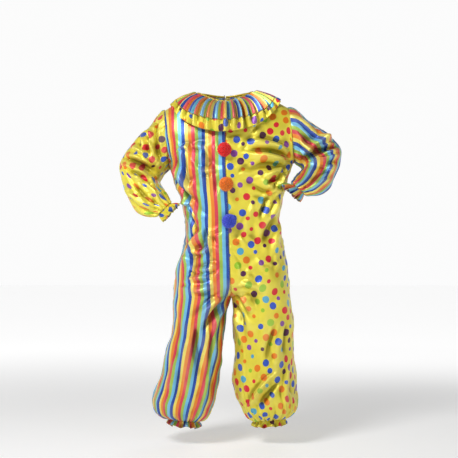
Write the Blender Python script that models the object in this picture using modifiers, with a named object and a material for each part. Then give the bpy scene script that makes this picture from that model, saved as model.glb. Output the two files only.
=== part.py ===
"""Clown costume: a loose satin jumpsuit, hollow, in its worn shape with both sleeves bent.

X runs to the right as seen from the front, -Y is the front, +Z is up, all in metres. The origin is
the middle of the neck's base, where the shoulders carry the garment. The half at -X is cut from
striped satin and its sleeve from dotted satin; the half at +X is the other way round.

A panel is a grid: u runs across it from the middle seam to the side seam, and the station number
runs down it from the armpit to the ankle. The panel above the armpit has a rule of its own.
"""

import math
from collections import namedtuple

import bmesh
import bpy
import numpy as np
from mathutils import Vector
from mathutils.bvhtree import BVHTree

WALL = 0.002
RUFFLE_WALL = 0.0014
SEAM_GAP = 0.0003
ARMHOLE_GAP, BAND_GAP = 0.00042, 0.00042  # where the edges' walls lean towards each other
CUFF_STEP, ANKLE_STEP = 0.0006, 0.0013  # between an elastic and its frill
FRONT, BACK = -1, 1
FLATNESS = 0.86  # the power on sine and cosine that makes a section squarer than an ellipse
TINY = 1e-9

# One row for each section down a half, from the armpit to the elastic at the ankle. front and back
# are the depths from the side seam, and closed goes from 0, where the oval stops at the middle of
# the front, to 1, where it is a whole leg.
Section = namedtuple("Section", "outer_x outer_z inner_x inner_z front back closed")
STRIPED_SECTIONS = (
    Section(-0.237, -0.286, -0.002, -0.286, 0.154, 0.138, 0),
    Section(-0.223, -0.353, 0.003, -0.353, 0.162, 0.136, 0),
    Section(-0.197, -0.428, 0.008, -0.428, 0.165, 0.127, 0),
    Section(-0.178, -0.483, 0.011, -0.483, 0.162, 0.122, 0),
    Section(-0.167, -0.546, 0.012, -0.546, 0.160, 0.130, 0),
    Section(-0.181, -0.630, 0.014, -0.632, 0.163, 0.150, 0),
    Section(-0.198, -0.690, 0.016, -0.700, 0.166, 0.164, 0),
    Section(-0.205, -0.725, 0.018, -0.747, 0.167, 0.169, 0.23),
    Section(-0.209, -0.755, 0.020, -0.787, 0.166, 0.171, 0.59),
    Section(-0.213, -0.785, 0.021, -0.814, 0.163, 0.169, 0.88),
    Section(-0.216, -0.815, 0.022, -0.824, 0.160, 0.166, 1),
    Section(-0.223, -0.882, 0.006, -0.884, 0.153, 0.158, 1),
    Section(-0.231, -0.983, -0.008, -0.985, 0.146, 0.150, 1),
    Section(-0.256, -1.058, -0.013, -1.062, 0.143, 0.147, 1),
    Section(-0.277, -1.134, -0.021, -1.140, 0.142, 0.146, 1),
    Section(-0.294, -1.205, -0.031, -1.214, 0.142, 0.145, 1),
    Section(-0.302, -1.258, -0.052, -1.272, 0.138, 0.140, 1),
    Section(-0.296, -1.298, -0.071, -1.312, 0.122, 0.124, 1),
    Section(-0.270, -1.320, -0.095, -1.334, 0.092, 0.094, 1),
    Section(-0.229, -1.327, -0.119, -1.343, 0.053, 0.053, 1),
)
DOTTED_SECTIONS = (
    Section(0.286, -0.273, -0.002, -0.286, 0.154, 0.138, 0),
    Section(0.262, -0.353, 0.003, -0.353, 0.162, 0.136, 0),
    Section(0.239, -0.428, 0.008, -0.428, 0.165, 0.127, 0),
    Section(0.228, -0.483, 0.011, -0.483, 0.162, 0.122, 0),
    Section(0.228, -0.546, 0.012, -0.546, 0.160, 0.130, 0),
    Section(0.247, -0.630, 0.014, -0.632, 0.163, 0.150, 0),
    Section(0.254, -0.690, 0.016, -0.700, 0.166, 0.164, 0),
    Section(0.258, -0.725, 0.018, -0.747, 0.167, 0.169, 0.23),
    Section(0.262, -0.755, 0.020, -0.787, 0.166, 0.171, 0.59),
    Section(0.266, -0.785, 0.021, -0.814, 0.163, 0.169, 0.88),
    Section(0.271, -0.815, 0.022, -0.824, 0.160, 0.166, 1),
    Section(0.279, -0.882, 0.029, -0.884, 0.153, 0.158, 1),
    Section(0.290, -0.983, 0.030, -0.985, 0.146, 0.150, 1),
    Section(0.294, -1.058, 0.030, -1.062, 0.143, 0.147, 1),
    Section(0.298, -1.134, 0.027, -1.140, 0.142, 0.146, 1),
    Section(0.303, -1.205, 0.033, -1.214, 0.142, 0.145, 1),
    Section(0.306, -1.256, 0.055, -1.266, 0.138, 0.140, 1),
    Section(0.300, -1.295, 0.072, -1.305, 0.122, 0.124, 1),
    Section(0.272, -1.320, 0.095, -1.330, 0.092, 0.094, 1),
    Section(0.238, -1.328, 0.124, -1.337, 0.055, 0.055, 1),
)
TORSO_END, CROTCH_END = 6, 10  # the stations where the torso and the crotch curve end

# Above the armpit the cloth lies over a plain pair of shoulders: a ridge line that falls as the
# square of the distance from the neck, with the neckline's oval cut out of the surface.
Half = namedtuple("Half", "name sections shoulder_x shoulder_z sign")
STRIPED = Half("striped", STRIPED_SECTIONS, -0.256, -0.046, -1)
DOTTED = Half("dotted", DOTTED_SECTIONS, 0.258, -0.034, 1)
RIDGE_TOP_Z = 0.040
ARMHOLE_DEPTH = 0.080
NECK_X, NECK_Y = -0.003, 0.000
NECK_HALF_WIDTH = 0.118
NECK_DEPTH = {FRONT: 0.100, BACK: 0.084}
CHEST_FULLNESS = {FRONT: 0.80, BACK: 0.50}  # lower is fuller just below the neck

# One row for each of the largest folds, as it is seen from the front or the back: its two ends,
# how wide it is, and how far it stands out, or sinks in where that is negative.
Fold = namedtuple("Fold", "x0 z0 x1 z1 width depth")
FRONT_FOLDS = (
    Fold(-0.225, -0.255, -0.120, -0.420, 0.030, 0.016),
    Fold(-0.235, -0.320, -0.130, -0.450, 0.028, -0.014),
    Fold(0.275, -0.240, 0.060, -0.200, 0.030, 0.015),
    Fold(0.280, -0.275, 0.050, -0.265, 0.028, -0.012),
    Fold(0.235, -0.400, 0.120, -0.320, 0.030, 0.015),
    Fold(-0.110, -0.560, -0.185, -0.720, 0.030, 0.016),
    Fold(-0.060, -0.540, -0.120, -0.700, 0.028, -0.012),
    Fold(0.200, -0.460, 0.150, -0.620, 0.030, -0.014),
    Fold(0.000, -0.800, -0.120, -0.930, 0.032, 0.018),
    Fold(-0.020, -0.860, -0.090, -1.020, 0.030, -0.014),
    Fold(0.045, -0.800, 0.110, -0.900, 0.030, 0.014),
    Fold(-0.150, -0.980, -0.165, -1.250, 0.034, 0.012),
    Fold(-0.085, -0.960, -0.095, -1.240, 0.032, -0.012),
    Fold(0.225, -0.950, 0.200, -1.200, 0.032, -0.012),
    Fold(0.165, -1.150, 0.080, -1.300, 0.030, 0.016),
)
BACK_FOLDS = (
    Fold(-0.225, -0.250, -0.090, -0.330, 0.032, 0.015),
    Fold(0.270, -0.250, 0.110, -0.340, 0.032, 0.015),
    Fold(-0.170, -0.520, -0.060, -0.620, 0.030, 0.014),
    Fold(0.215, -0.520, 0.090, -0.640, 0.030, 0.014),
    Fold(0.000, -0.790, -0.130, -0.880, 0.032, 0.016),
    Fold(0.040, -0.790, 0.160, -0.890, 0.032, 0.016),
    Fold(-0.150, -0.980, -0.175, -1.240, 0.034, -0.014),
    Fold(0.150, -0.980, 0.175, -1.240, 0.034, -0.014),
)
FOLD_HALF_LENGTH = 0.42  # of a fold's length: it fades beyond this distance from its middle
SEAM_MARGIN = 0.15  # of a panel's width, over which folds fade beside a seam
NECK_MARGIN = 0.5  # stations over which folds fade below the ridge line

# The gathers above an elastic: how far above it they are deepest, and over how many stations or
# rings they fade.
GATHER_DEPTH, GATHER_PEAK, GATHER_REACH = 0.007, 1.3, 2.6
SLEEVE_GATHER_DEPTH, SLEEVE_GATHER_PEAK, SLEEVE_GATHER_REACH = 0.0042, 2.2, 1.2

# One row for each ring down a sleeve, from the armhole to the elastic at the wrist. The outer point
# is the shoulder and elbow side, the inner point the armpit side; depth is half the ring's depth.
Ring = namedtuple("Ring", "outer_x outer_z inner_x inner_z y depth")
DOTTED_SLEEVE = (
    Ring(-0.256, -0.046, -0.237, -0.286, 0.000, 0.080),
    Ring(-0.298, -0.078, -0.248, -0.300, 0.003, 0.086),
    Ring(-0.340, -0.124, -0.260, -0.314, 0.006, 0.088),
    Ring(-0.378, -0.167, -0.269, -0.325, 0.010, 0.088),
    Ring(-0.416, -0.210, -0.275, -0.334, 0.012, 0.087),
    Ring(-0.441, -0.246, -0.279, -0.342, 0.012, 0.086),
    Ring(-0.453, -0.283, -0.279, -0.350, 0.008, 0.086),
    Ring(-0.441, -0.326, -0.273, -0.359, -0.002, 0.085),
    Ring(-0.424, -0.371, -0.261, -0.372, -0.016, 0.083),
    Ring(-0.403, -0.420, -0.246, -0.389, -0.034, 0.080),
    Ring(-0.370, -0.460, -0.233, -0.406, -0.052, 0.073),
    Ring(-0.330, -0.486, -0.226, -0.415, -0.068, 0.060),
    Ring(-0.300, -0.493, -0.224, -0.426, -0.084, 0.043),
    Ring(-0.278, -0.485, -0.230, -0.436, -0.096, 0.031),
)
STRIPED_SLEEVE = (
    Ring(0.258, -0.034, 0.286, -0.273, 0.000, 0.080),
    Ring(0.296, -0.045, 0.296, -0.277, 0.003, 0.086),
    Ring(0.333, -0.078, 0.304, -0.280, 0.006, 0.088),
    Ring(0.374, -0.109, 0.310, -0.283, 0.010, 0.088),
    Ring(0.420, -0.144, 0.314, -0.286, 0.012, 0.087),
    Ring(0.458, -0.177, 0.316, -0.290, 0.012, 0.086),
    Ring(0.481, -0.219, 0.314, -0.294, 0.006, 0.086),
    Ring(0.475, -0.265, 0.309, -0.299, -0.008, 0.085),
    Ring(0.458, -0.307, 0.301, -0.305, -0.028, 0.083),
    Ring(0.435, -0.345, 0.292, -0.313, -0.052, 0.080),
    Ring(0.405, -0.378, 0.283, -0.323, -0.076, 0.073),
    Ring(0.372, -0.402, 0.275, -0.334, -0.098, 0.060),
    Ring(0.342, -0.408, 0.269, -0.346, -0.114, 0.042),
    Ring(0.322, -0.400, 0.270, -0.357, -0.124, 0.031),
)

# One row for each frill below an elastic: its last ring, where the first is the elastic's own.
Frill = namedtuple("Frill", "name outer_x outer_z inner_x inner_z y depth waves wave_depth")
CUFF_FRILLS = (
    Frill("cuff_frill_dotted", -0.254, -0.510, -0.190, -0.438, -0.122, 0.046, 10, 0.006),
    Frill("cuff_frill_striped", 0.300, -0.430, 0.228, -0.361, -0.150, 0.046, 10, 0.006),
)
ANKLE_FRILLS = (
    Frill("ankle_frill_striped", -0.248, -1.354, -0.106, -1.370, 0.0, 0.068, 12, 0.006),
    Frill("ankle_frill_dotted", 0.252, -1.358, 0.110, -1.366, 0.0, 0.068, 12, 0.006),
)
FRILL_WAYS = (0.0, 0.45, 1.0)  # its rings, as shares of the way to its edge
FRILL_WAVE_GROWTH = 1.2

# The collar: a striped flounce with a dotted band along its edge, in one set of pleats.
PLEATS = 40
COLLAR_SLIT = 0.010  # radians on each side of the middle of the back, where it opens
COLLAR_X = -0.003
COLLAR_HALF_WIDTH = 0.228
COLLAR_REACH = {FRONT: 0.180, BACK: 0.172}
COLLAR_EDGE_Z = {"front": -0.150, "side": -0.0165, "back": -0.100}
COLLAR_TILT = 0.022
COLLAR_PUFF = 0.012
COLLAR_DROP_POWER = 1.3  # higher keeps the drop nearer the middle of the front and back
COLLAR_ROUNDNESS = 0.9
COLLAR_START = 0.03  # of its width, where it comes out from the binding
COLLAR_ROWS = 24  # from the neckline to the band's edge
FLOUNCE_ROWS, BAND_ROWS = [0, 6, 12, 18], [18, 21, 24]
COLLAR_CLEARANCE = 0.002
PLEAT_DEPTH_NECK, PLEAT_DEPTH_EDGE, PLEAT_DEPTH_SHOULDER = 0.0015, 0.0085, 0.0035
PLEAT_GROWTH = 0.8
BINDING_RADIUS = 0.003
BINDING_LIFT = 0.0024  # its underside's height above the neckline

# One row for each pompom down the middle seam.
Pompom = namedtuple("Pompom", "name x z colour")
POMPOMS = (
    Pompom("pompom_red", -0.006, -0.219, (0.85, 0.02, 0.02)),
    Pompom("pompom_orange", 0.001, -0.360, (1.0, 0.25, 0.0)),
    Pompom("pompom_blue", 0.013, -0.510, (0.06, 0.08, 0.62)),
)
POMPOM_CORE = 0.0195
LOCK_LENGTH = 0.0095
LOCK_GAP = 0.0009
POMPOM_GAP = 0.0006
LOCK_LEAST_FACING = -0.15  # locks stand only where the ball doesn't press on the cloth

# How finely each kind of piece is cut into facets.
FRONT_COLUMNS, BACK_COLUMNS = 14, 12
YOKE_ROWS, TORSO_ROWS, CROTCH_ROWS, LEG_ROWS = 8, 8, 4, 12
SLEEVE_COLUMNS, SLEEVE_ROWS = 16, 17
LEG_ROW_POWER, SLEEVE_ROW_POWER = 0.85, 0.92  # below 1 the rows close up towards the elastic
FACETS_PER_WAVE = 4
BINDING_POINTS = 41

# How finely the cloth is sampled where a place on it is searched for.
NECKLINE_LOWEST, NECKLINE_STEPS = 0.8, 801
NECKLINE_SAMPLES, YOKE_SAMPLES, SEAM_SAMPLES = 160, 41, 50

YELLOW = (0.86, 0.70, 0.05)
STRIPE_BASE = (0.86, 0.42, 0.10)


def smooth_step(t):
    """0 to 1 with level ends."""
    t = np.clip(t, 0, 1)
    return t * t * (3 - 2 * t)


def column(rows, name):
    return np.array([getattr(row, name) for row in rows])


def between_rows(values, at):
    """Values at fractional row numbers, by a cubic through each row with the neighbours' slope."""
    slope = np.gradient(values)
    i = np.clip(np.floor(at).astype(int), 0, len(values) - 2)
    t = at - i
    a, b, da, db = values[i], values[i + 1], slope[i], slope[i + 1]
    return (
        a * (2 * t**3 - 3 * t**2 + 1)
        + da * (t**3 - 2 * t**2 + t)
        + b * (3 * t**2 - 2 * t**3)
        + db * (t**3 - t**2)
    )


def squared(value, power=FLATNESS):
    """A sine or cosine raised to a power with its sign kept, which squares an ellipse's corners."""
    value = np.where(np.abs(value) < TINY, 0, value)
    return np.sign(value) * np.abs(value) ** power


def lower_points(half, side, u, station):
    """The cloth below the armpit: part of an oval that ends at the side seam. It starts at the
    middle of the front where closed is 0, further round as it grows, and at the inside seam at 1."""
    at = {name: between_rows(column(half.sections, name), station) for name in Section._fields}
    closed = np.clip(at["closed"], 0, 1)
    depth = at["front"] if side == FRONT else at["back"]
    reach = at["outer_x"] - at["inner_x"]
    first = np.arccos(closed ** (1 / FLATNESS))
    angle = first + (math.pi - first) * u
    share = (closed - squared(np.cos(angle))) / (1 + closed)
    x = at["inner_x"] + reach * share
    y = side * depth * squared(np.sin(angle))
    z = at["inner_z"] + (at["outer_z"] - at["inner_z"]) * share
    return np.stack([x, y, z], axis=-1)


def yoke_points(half, side, u, way):
    """The cloth over the shoulder: way runs from 0 on the ridge line to 1 at the armpit's section.
    It goes forward and down as a quarter oval, and at the side follows the sleeve's first ring."""
    top = half.sections[0]
    depth = top.front if side == FRONT else top.back
    across = squared(np.sin(u * math.pi / 2))
    ridge_x = NECK_X + (half.shoulder_x - NECK_X) * across
    fall = (RIDGE_TOP_Z - half.shoulder_z) / half.shoulder_x**2
    ridge_z = RIDGE_TOP_Z - fall * ridge_x**2
    chest_x = top.inner_x + (top.outer_x - top.inner_x) * across
    chest_z = top.inner_z + (top.outer_z - top.inner_z) * across
    near_armhole = u**3
    ring_down = (1 - squared(np.cos(way * math.pi))) / 2
    down = 1 - np.cos(way * math.pi / 2)
    down = down + near_armhole * (ring_down - down)
    out = np.sin(way * math.pi / 2) ** CHEST_FULLNESS[side]
    x = ridge_x + (chest_x - ridge_x) * (way + near_armhole * (ring_down - way))
    y = side * depth * squared(np.cos(u * math.pi / 2)) * out
    y = y + side * ARMHOLE_DEPTH * near_armhole * squared(np.sin(way * math.pi))
    z = ridge_z + (chest_z - ridge_z) * down
    return np.stack([x, y, z], axis=-1)


def ring_normals(outer, inner, depth, angle):
    """The outward normals of an oval ring, in its own plane."""
    along = np.array([outer[0] - inner[0], 0, outer[1] - inner[1]])
    length = np.linalg.norm(along) / 2
    ahead = squared(np.cos(angle), 2 - FLATNESS) / length
    forward = squared(np.sin(angle), 2 - FLATNESS) / depth
    normals = ahead[..., None] * along / (2 * length) + forward[..., None] * np.array([0, -1, 0])
    return normals / np.linalg.norm(normals, axis=-1, keepdims=True)


def neckline_way(half, side, u):
    """How far down each column the neckline's oval cuts the cloth: 0 where it misses it."""
    ways = np.linspace(0, NECKLINE_LOWEST, NECKLINE_STEPS)
    p = yoke_points(half, side, u[:, None], ways[None, :])
    across = (p[..., 0] - NECK_X) / NECK_HALF_WIDTH
    along = (p[..., 1] - NECK_Y) / NECK_DEPTH[side]
    outside = across**2 + along**2 - 1
    cut = np.zeros(len(u))
    for i, row in enumerate(outside):
        if row[0] < -TINY:
            k = int(np.argmax(row > 0))
            cut[i] = np.interp(0, row[k - 1 : k + 1], ways[k - 1 : k + 1])
    return cut


def panel_columns(half, count):
    """Places across a panel, one of them where the neckline's end meets the ridge line."""
    end = NECK_X + math.copysign(NECK_HALF_WIDTH, half.sign)
    share = (end - NECK_X) / (half.shoulder_x - NECK_X)
    neck_u = math.asin(share ** (1 / FLATNESS)) * 2 / math.pi
    inside = round(count * neck_u)
    return np.concatenate([
        np.linspace(0, neck_u, inside + 1)[:-1],
        np.linspace(neck_u, 1, count - inside + 1),
    ])


def panel_stations():
    """Row numbers down a panel: -1 to 0 is the yoke, and then the section numbers. The leg's rows
    close up towards the elastic, where the cloth turns under."""
    last = len(STRIPED_SECTIONS) - 1
    turned = np.linspace(0, 1, LEG_ROWS + 1) ** LEG_ROW_POWER
    return np.concatenate([
        np.linspace(-1, 0, YOKE_ROWS + 1)[:-1],
        np.linspace(0, TORSO_END, TORSO_ROWS + 1)[:-1],
        np.linspace(TORSO_END, CROTCH_END, CROTCH_ROWS + 1)[:-1],
        CROTCH_END + (last - CROTCH_END) * turned,
    ])


def grid_normals(points, closed=False):
    """The unit normal at each point of a grid, from its neighbours across and down."""
    if closed:
        padded = np.concatenate([points[:, -1:], points, points[:, :1]], axis=1)
        across = np.gradient(padded, axis=1)[:, 1:-1]
    else:
        across = np.gradient(points, axis=1)
    down = np.gradient(points, axis=0)
    normal = np.cross(across, down)
    return normal / np.maximum(np.linalg.norm(normal, axis=-1, keepdims=True), TINY)


def fold_height(points, folds):
    """How far folds lift the cloth: each is a ridge along a line, round across it and fading out
    towards both ends."""
    height = np.zeros(points.shape[:-1])
    for fold in folds:
        start = np.array([fold.x0, fold.z0])
        run = np.array([fold.x1, fold.z1]) - start
        offset = points[..., [0, 2]] - start
        along = offset @ run / (run @ run)
        beside = (offset[..., 0] * run[1] - offset[..., 1] * run[0]) / np.linalg.norm(run)
        ends = np.exp(-((along - 0.5) / FOLD_HALF_LENGTH) ** 4)
        height += fold.depth * np.exp(-((beside / fold.width) ** 2)) * ends
    return height


def panel_grid(half, side, u, stations):
    """(outer points, outward normals) of a front or back panel, with its folds and gathers."""
    cut = neckline_way(half, side, u)
    rows = []
    for station in stations:
        if station < 0:
            rows.append(yoke_points(half, side, u, cut + (1 - cut) * (station + 1)))
        else:
            rows.append(lower_points(half, side, u, np.full(len(u), station)))
    points = np.array(rows)
    normals = grid_normals(points) * (half.sign * side)
    normals = seam_normals(half, side, points, normals, stations)
    folds = FRONT_FOLDS if side == FRONT else BACK_FOLDS
    from_side = np.minimum(1, (1 - u) / SEAM_MARGIN)
    from_inseam = np.where(stations[:, None] < TORSO_END, 1, np.minimum(1, u / SEAM_MARGIN))
    below_neck = smooth_step((stations + 1) / NECK_MARGIN)[:, None]
    height = fold_height(points, folds) * from_side * from_inseam * below_neck
    near_elastic = np.exp(-(((stations - stations[-1] + GATHER_PEAK) / GATHER_REACH) ** 2))
    near_elastic[-1] = 0
    gathers = np.cos(np.arange(len(u)) * math.pi) * GATHER_DEPTH
    gathers[[0, -1]] = 0
    height += near_elastic[:, None] * gathers
    return points + normals * height[..., None], normals


def seam_normals(half, side, points, normals, stations):
    """Turns the normals on the seams into the seam's own plane, so that both pieces' edges match."""
    normals = normals.copy()
    along = np.gradient(points, axis=0)
    middle = (stations > -1) & (stations <= CROTCH_END)
    normals[middle, 0] = np.cross((side, 0, 0), along[middle, 0])
    inseam = stations > CROTCH_END
    normals[inseam, 0] = np.cross((0, half.sign, 0), along[inseam, 0])
    below = stations >= 0
    normals[below, -1] = np.cross((0, -half.sign, 0), along[below, -1])
    normals[np.abs(stations - CROTCH_END) < TINY, 0] = (0, 0, -1)
    normals[0, np.abs(points[0, :, 1]) < TINY, 1] = 0
    shoulder, armpit = (half.shoulder_x, half.shoulder_z), half.sections[0][:2]
    ring = ring_normals(shoulder, armpit, ARMHOLE_DEPTH, (stations[~below] + 1) * math.pi)
    normals[~below, -1] = ring * (1, -side, 1)
    return normals / np.linalg.norm(normals, axis=-1, keepdims=True)


def triangles_of(points, closed):
    """A grid's triangles, each quad cut along its shorter diagonal. A closed grid goes round."""
    index = np.arange(points.shape[0] * points.shape[1]).reshape(points.shape[:2])
    if closed:
        index = np.concatenate([index, index[:, :1]], axis=1)
    a, b, c, d = index[:-1, :-1], index[:-1, 1:], index[1:, 1:], index[1:, :-1]
    flat = points.reshape(-1, 3)
    down_right = np.linalg.norm(flat[a] - flat[c], axis=-1)
    down_left = np.linalg.norm(flat[b] - flat[d], axis=-1)
    shorter = (down_right < down_left)[..., None]
    first = np.where(shorter, np.stack([a, b, c], axis=-1), np.stack([a, b, d], axis=-1))
    second = np.where(shorter, np.stack([a, c, d], axis=-1), np.stack([b, c, d], axis=-1))
    return index, np.concatenate([first.reshape(-1, 3), second.reshape(-1, 3)])


def mesh_of(name, points, faces):
    mesh = bpy.data.meshes.new(name)
    mesh.from_pydata(points.reshape(-1, 3).tolist(), [], faces)
    bm = bmesh.new()
    bm.from_mesh(mesh)
    bmesh.ops.recalc_face_normals(bm, faces=bm.faces)
    bm.to_mesh(mesh)
    bm.free()
    mesh.shade_smooth()
    return mesh


def fitted_wall(name, outer, normals, colour, closed=False):
    """A cloth wall whose inner face follows the given normals and not the surface's own, because at
    its seams they lie in the seam's plane, where the next piece starts."""
    index, outside = triangles_of(outer, closed)
    count = outer.shape[0] * outer.shape[1]
    faces = outside.tolist() + (outside[:, ::-1] + count).tolist()
    edges = [index[0, ::-1], index[-1]]
    if not closed:
        edges += [index[:, 0], index[::-1, -1]]
    for edge in edges:
        p, q = edge[:-1], edge[1:]
        faces += np.stack([p, q, q + count, p + count], axis=-1).tolist()
    points = np.concatenate([outer.reshape(-1, 3), (outer - normals * WALL).reshape(-1, 3)])
    return add_part(name, mesh_of(name, points, faces), colour)


def ruffle(name, points, colour, closed=False):
    """An open surface with a thin wall on its inner side."""
    _, faces = triangles_of(points, closed)
    part = add_part(name, mesh_of(name, points, faces.tolist()), colour)
    wall = part.modifiers.new("wall", "SOLIDIFY")
    wall.thickness = RUFFLE_WALL
    wall.offset = -1
    return part


def add_part(name, data, colour, roughness=0.35):
    """An object for one sub-part, with a satin material of its own."""
    material = bpy.data.materials.new(name)
    material.use_nodes = True
    surface = material.node_tree.nodes["Principled BSDF"]
    surface.inputs["Base Color"].default_value = (*colour, 1)
    surface.inputs["Roughness"].default_value = roughness
    surface.inputs["Metallic"].default_value = 0
    data.materials.append(material)
    part = bpy.data.objects.new(name, data)
    bpy.data.collections["clown_costume"].objects.link(part)
    return part


def make_panels():
    stations = panel_stations()
    for half in (STRIPED, DOTTED):
        colour = STRIPE_BASE if half is STRIPED else YELLOW
        for side, word, columns in ((FRONT, "front", FRONT_COLUMNS), (BACK, "back", BACK_COLUMNS)):
            outer, normals = panel_grid(half, side, panel_columns(half, columns), stations)
            outer = outer + np.array([half.sign, side, 0]) * SEAM_GAP / 2
            fitted_wall(f"{word}_{half.name}", outer, normals, colour)


def ring_points(ring, angle):
    """A ring round a sleeve or frill: the angle runs from the outer point by the front to the inner."""
    share = (1 - squared(np.cos(angle))) / 2
    x = ring["outer_x"] + (ring["inner_x"] - ring["outer_x"]) * share
    z = ring["outer_z"] + (ring["inner_z"] - ring["outer_z"]) * share
    y = ring["y"] - ring["depth"] * squared(np.sin(angle))
    return np.stack([x, y, z], axis=-1)


def outward(points, normals):
    """Normals turned to point away from each ring's middle."""
    away = points - points.mean(axis=1, keepdims=True)
    return normals * np.sign((normals * away).sum(axis=-1, keepdims=True))


def make_sleeve(name, rings, colour):
    angle = np.arange(SLEEVE_COLUMNS) * 2 * math.pi / SLEEVE_COLUMNS
    last = len(rings) - 1
    at = last * np.linspace(0, 1, SLEEVE_ROWS + 1) ** SLEEVE_ROW_POWER
    ring = {key: between_rows(column(rings, key), at)[:, None] for key in Ring._fields}
    points = ring_points(ring, angle[None, :])
    normals = outward(points, grid_normals(points, closed=True))
    first = rings[0]
    normals[0] = ring_normals(first[:2], first[2:4], first.depth, angle)
    gathers = np.cos(np.arange(SLEEVE_COLUMNS) * math.pi) * SLEEVE_GATHER_DEPTH
    near_elastic = np.exp(-(((at - last + SLEEVE_GATHER_PEAK) / SLEEVE_GATHER_REACH) ** 2))
    near_elastic[-1] = 0
    points += normals * (near_elastic[:, None] * gathers)[..., None]
    points[..., 0] += math.copysign(ARMHOLE_GAP, first.outer_x)
    fitted_wall(name, points, normals, colour, closed=True)


def make_frill(frill, first, away, colour):
    """A gathered edge beyond an elastic. first is the elastic's own ring, and away is the step over
    the seam's gap, which leaves room for the ruffle's wall to lean back."""
    columns = frill.waves * FACETS_PER_WAVE
    angle = (np.arange(columns) + 0.5) * 2 * math.pi / columns
    way = np.array(FRILL_WAYS)[:, None]
    ring = {key: first[key] + (getattr(frill, key) - first[key]) * way for key in Ring._fields}
    points = ring_points(ring, angle[None, :]) + np.array(away)
    normals = outward(points, grid_normals(points, closed=True))
    growth = frill.wave_depth * smooth_step(way * FRILL_WAVE_GROWTH)
    waves = np.cos(frill.waves * angle[None, :]) * growth
    points += normals * waves[..., None]
    ruffle(frill.name, points, colour, closed=True)


def last_section_ring(half):
    last = half.sections[-1]
    return {
        "outer_x": last.outer_x, "outer_z": last.outer_z, "inner_x": last.inner_x,
        "inner_z": last.inner_z, "y": 0.0, "depth": last.front,
    }


def neckline_height():
    """(angles, heights) round the neckline: the angle is 0 at the front and grows towards +X."""
    u = np.linspace(0, 1, NECKLINE_SAMPLES)
    angles, heights = [], []
    for half in (STRIPED, DOTTED):
        for side in (FRONT, BACK):
            cut = neckline_way(half, side, u)
            p = yoke_points(half, side, u, cut)[cut > 0]
            angles.append(np.arctan2((p[:, 0] - NECK_X) / NECK_HALF_WIDTH,
                                     -(p[:, 1] - NECK_Y) / NECK_DEPTH[side]))
            heights.append(p[:, 2])
    angles, heights = np.concatenate(angles), np.concatenate(heights)
    order = np.argsort(angles)
    return angles[order], heights[order]


def neckline_points(angle):
    known, heights = neckline_height()
    depth = np.where(np.cos(angle) > 0, NECK_DEPTH[FRONT], NECK_DEPTH[BACK])
    x = NECK_X + NECK_HALF_WIDTH * np.sin(angle)
    y = NECK_Y - depth * np.cos(angle)
    return np.stack([x, y, np.interp(angle, known, heights, period=2 * math.pi)], axis=-1)


def collar_base(angle, way):
    """The collar without its pleats, hanging free: way runs from 0 at the neckline to 1 at the edge.
    It is straight over the shoulders, and at the front and back goes outwards first and then falls."""
    start = neckline_points(angle)
    facing = np.cos(angle)
    reach = np.where(facing > 0, COLLAR_REACH[FRONT], COLLAR_REACH[BACK])
    front = np.maximum(facing, 0) ** COLLAR_DROP_POWER
    back = np.maximum(-facing, 0) ** COLLAR_DROP_POWER
    side_z = COLLAR_EDGE_Z["side"]
    edge_x = COLLAR_X + COLLAR_HALF_WIDTH * np.sin(angle)
    edge_z = side_z + (COLLAR_EDGE_Z["front"] - side_z) * front + (COLLAR_EDGE_Z["back"] - side_z) * back
    edge_z += COLLAR_TILT * edge_x
    roundness = np.abs(facing)
    along = way + (np.sin(way * math.pi / 2) ** COLLAR_ROUNDNESS - way) * roundness
    down = way + (1 - np.cos(way * math.pi / 2) - way) * roundness
    x = start[..., 0] + (edge_x - start[..., 0]) * along
    y = start[..., 1] + (-reach * facing - start[..., 1]) * along
    z = start[..., 2] + (edge_z - start[..., 2]) * down + COLLAR_PUFF * np.sin(way * math.pi)
    return np.stack([x, y, z + BINDING_RADIUS], axis=-1)


def yoke_tree():
    """The panels' own cloth round the shoulders, as a tree of facets to measure distances from."""
    even = np.linspace(0, 1, YOKE_SAMPLES)
    points, faces = [], []
    index = np.arange(YOKE_SAMPLES**2).reshape(YOKE_SAMPLES, YOKE_SAMPLES)
    corners = np.stack([index[:-1, :-1], index[:-1, 1:], index[1:, 1:], index[1:, :-1]], axis=-1)
    for half in (STRIPED, DOTTED):
        for side in (FRONT, BACK):
            quads = corners.reshape(-1, 4)
            flip = half.sign * side < 0
            faces += (len(points) + (quads[:, ::-1] if flip else quads)).tolist()
            points += yoke_points(half, side, even[None, :], even[:, None]).reshape(-1, 3).tolist()
    return BVHTree.FromPolygons(points, faces)


def lifted(points, clearance):
    """Points pushed out of the panels' cloth until they stand this far from it."""
    tree = yoke_tree()
    moved = points.copy()
    for place in np.ndindex(points.shape[:2]):
        nearest, normal, _, _ = tree.find_nearest(Vector(points[place]))
        height = (Vector(points[place]) - nearest).dot(normal)
        moved[place] += np.array(normal) * max(0, clearance[place] - height)
    return moved


def collar_grid(angle):
    """The pleated collar's points in COLLAR_ROWS rows. The pleats grow towards the edge."""
    way = COLLAR_START + (1 - COLLAR_START) * np.linspace(0, 1, COLLAR_ROWS + 1)[:, None]
    facing = np.abs(np.cos(angle))[None, :]
    edge_depth = PLEAT_DEPTH_SHOULDER + (PLEAT_DEPTH_EDGE - PLEAT_DEPTH_SHOULDER) * facing
    depth = PLEAT_DEPTH_NECK + (edge_depth - PLEAT_DEPTH_NECK) * way**PLEAT_GROWTH
    base = lifted(collar_base(angle[None, :], way), depth + RUFFLE_WALL + COLLAR_CLEARANCE)
    normals = grid_normals(base)
    normals *= np.sign(normals[..., 2:])
    return base + normals * (depth * np.cos(PLEATS * angle))[..., None]


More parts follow.
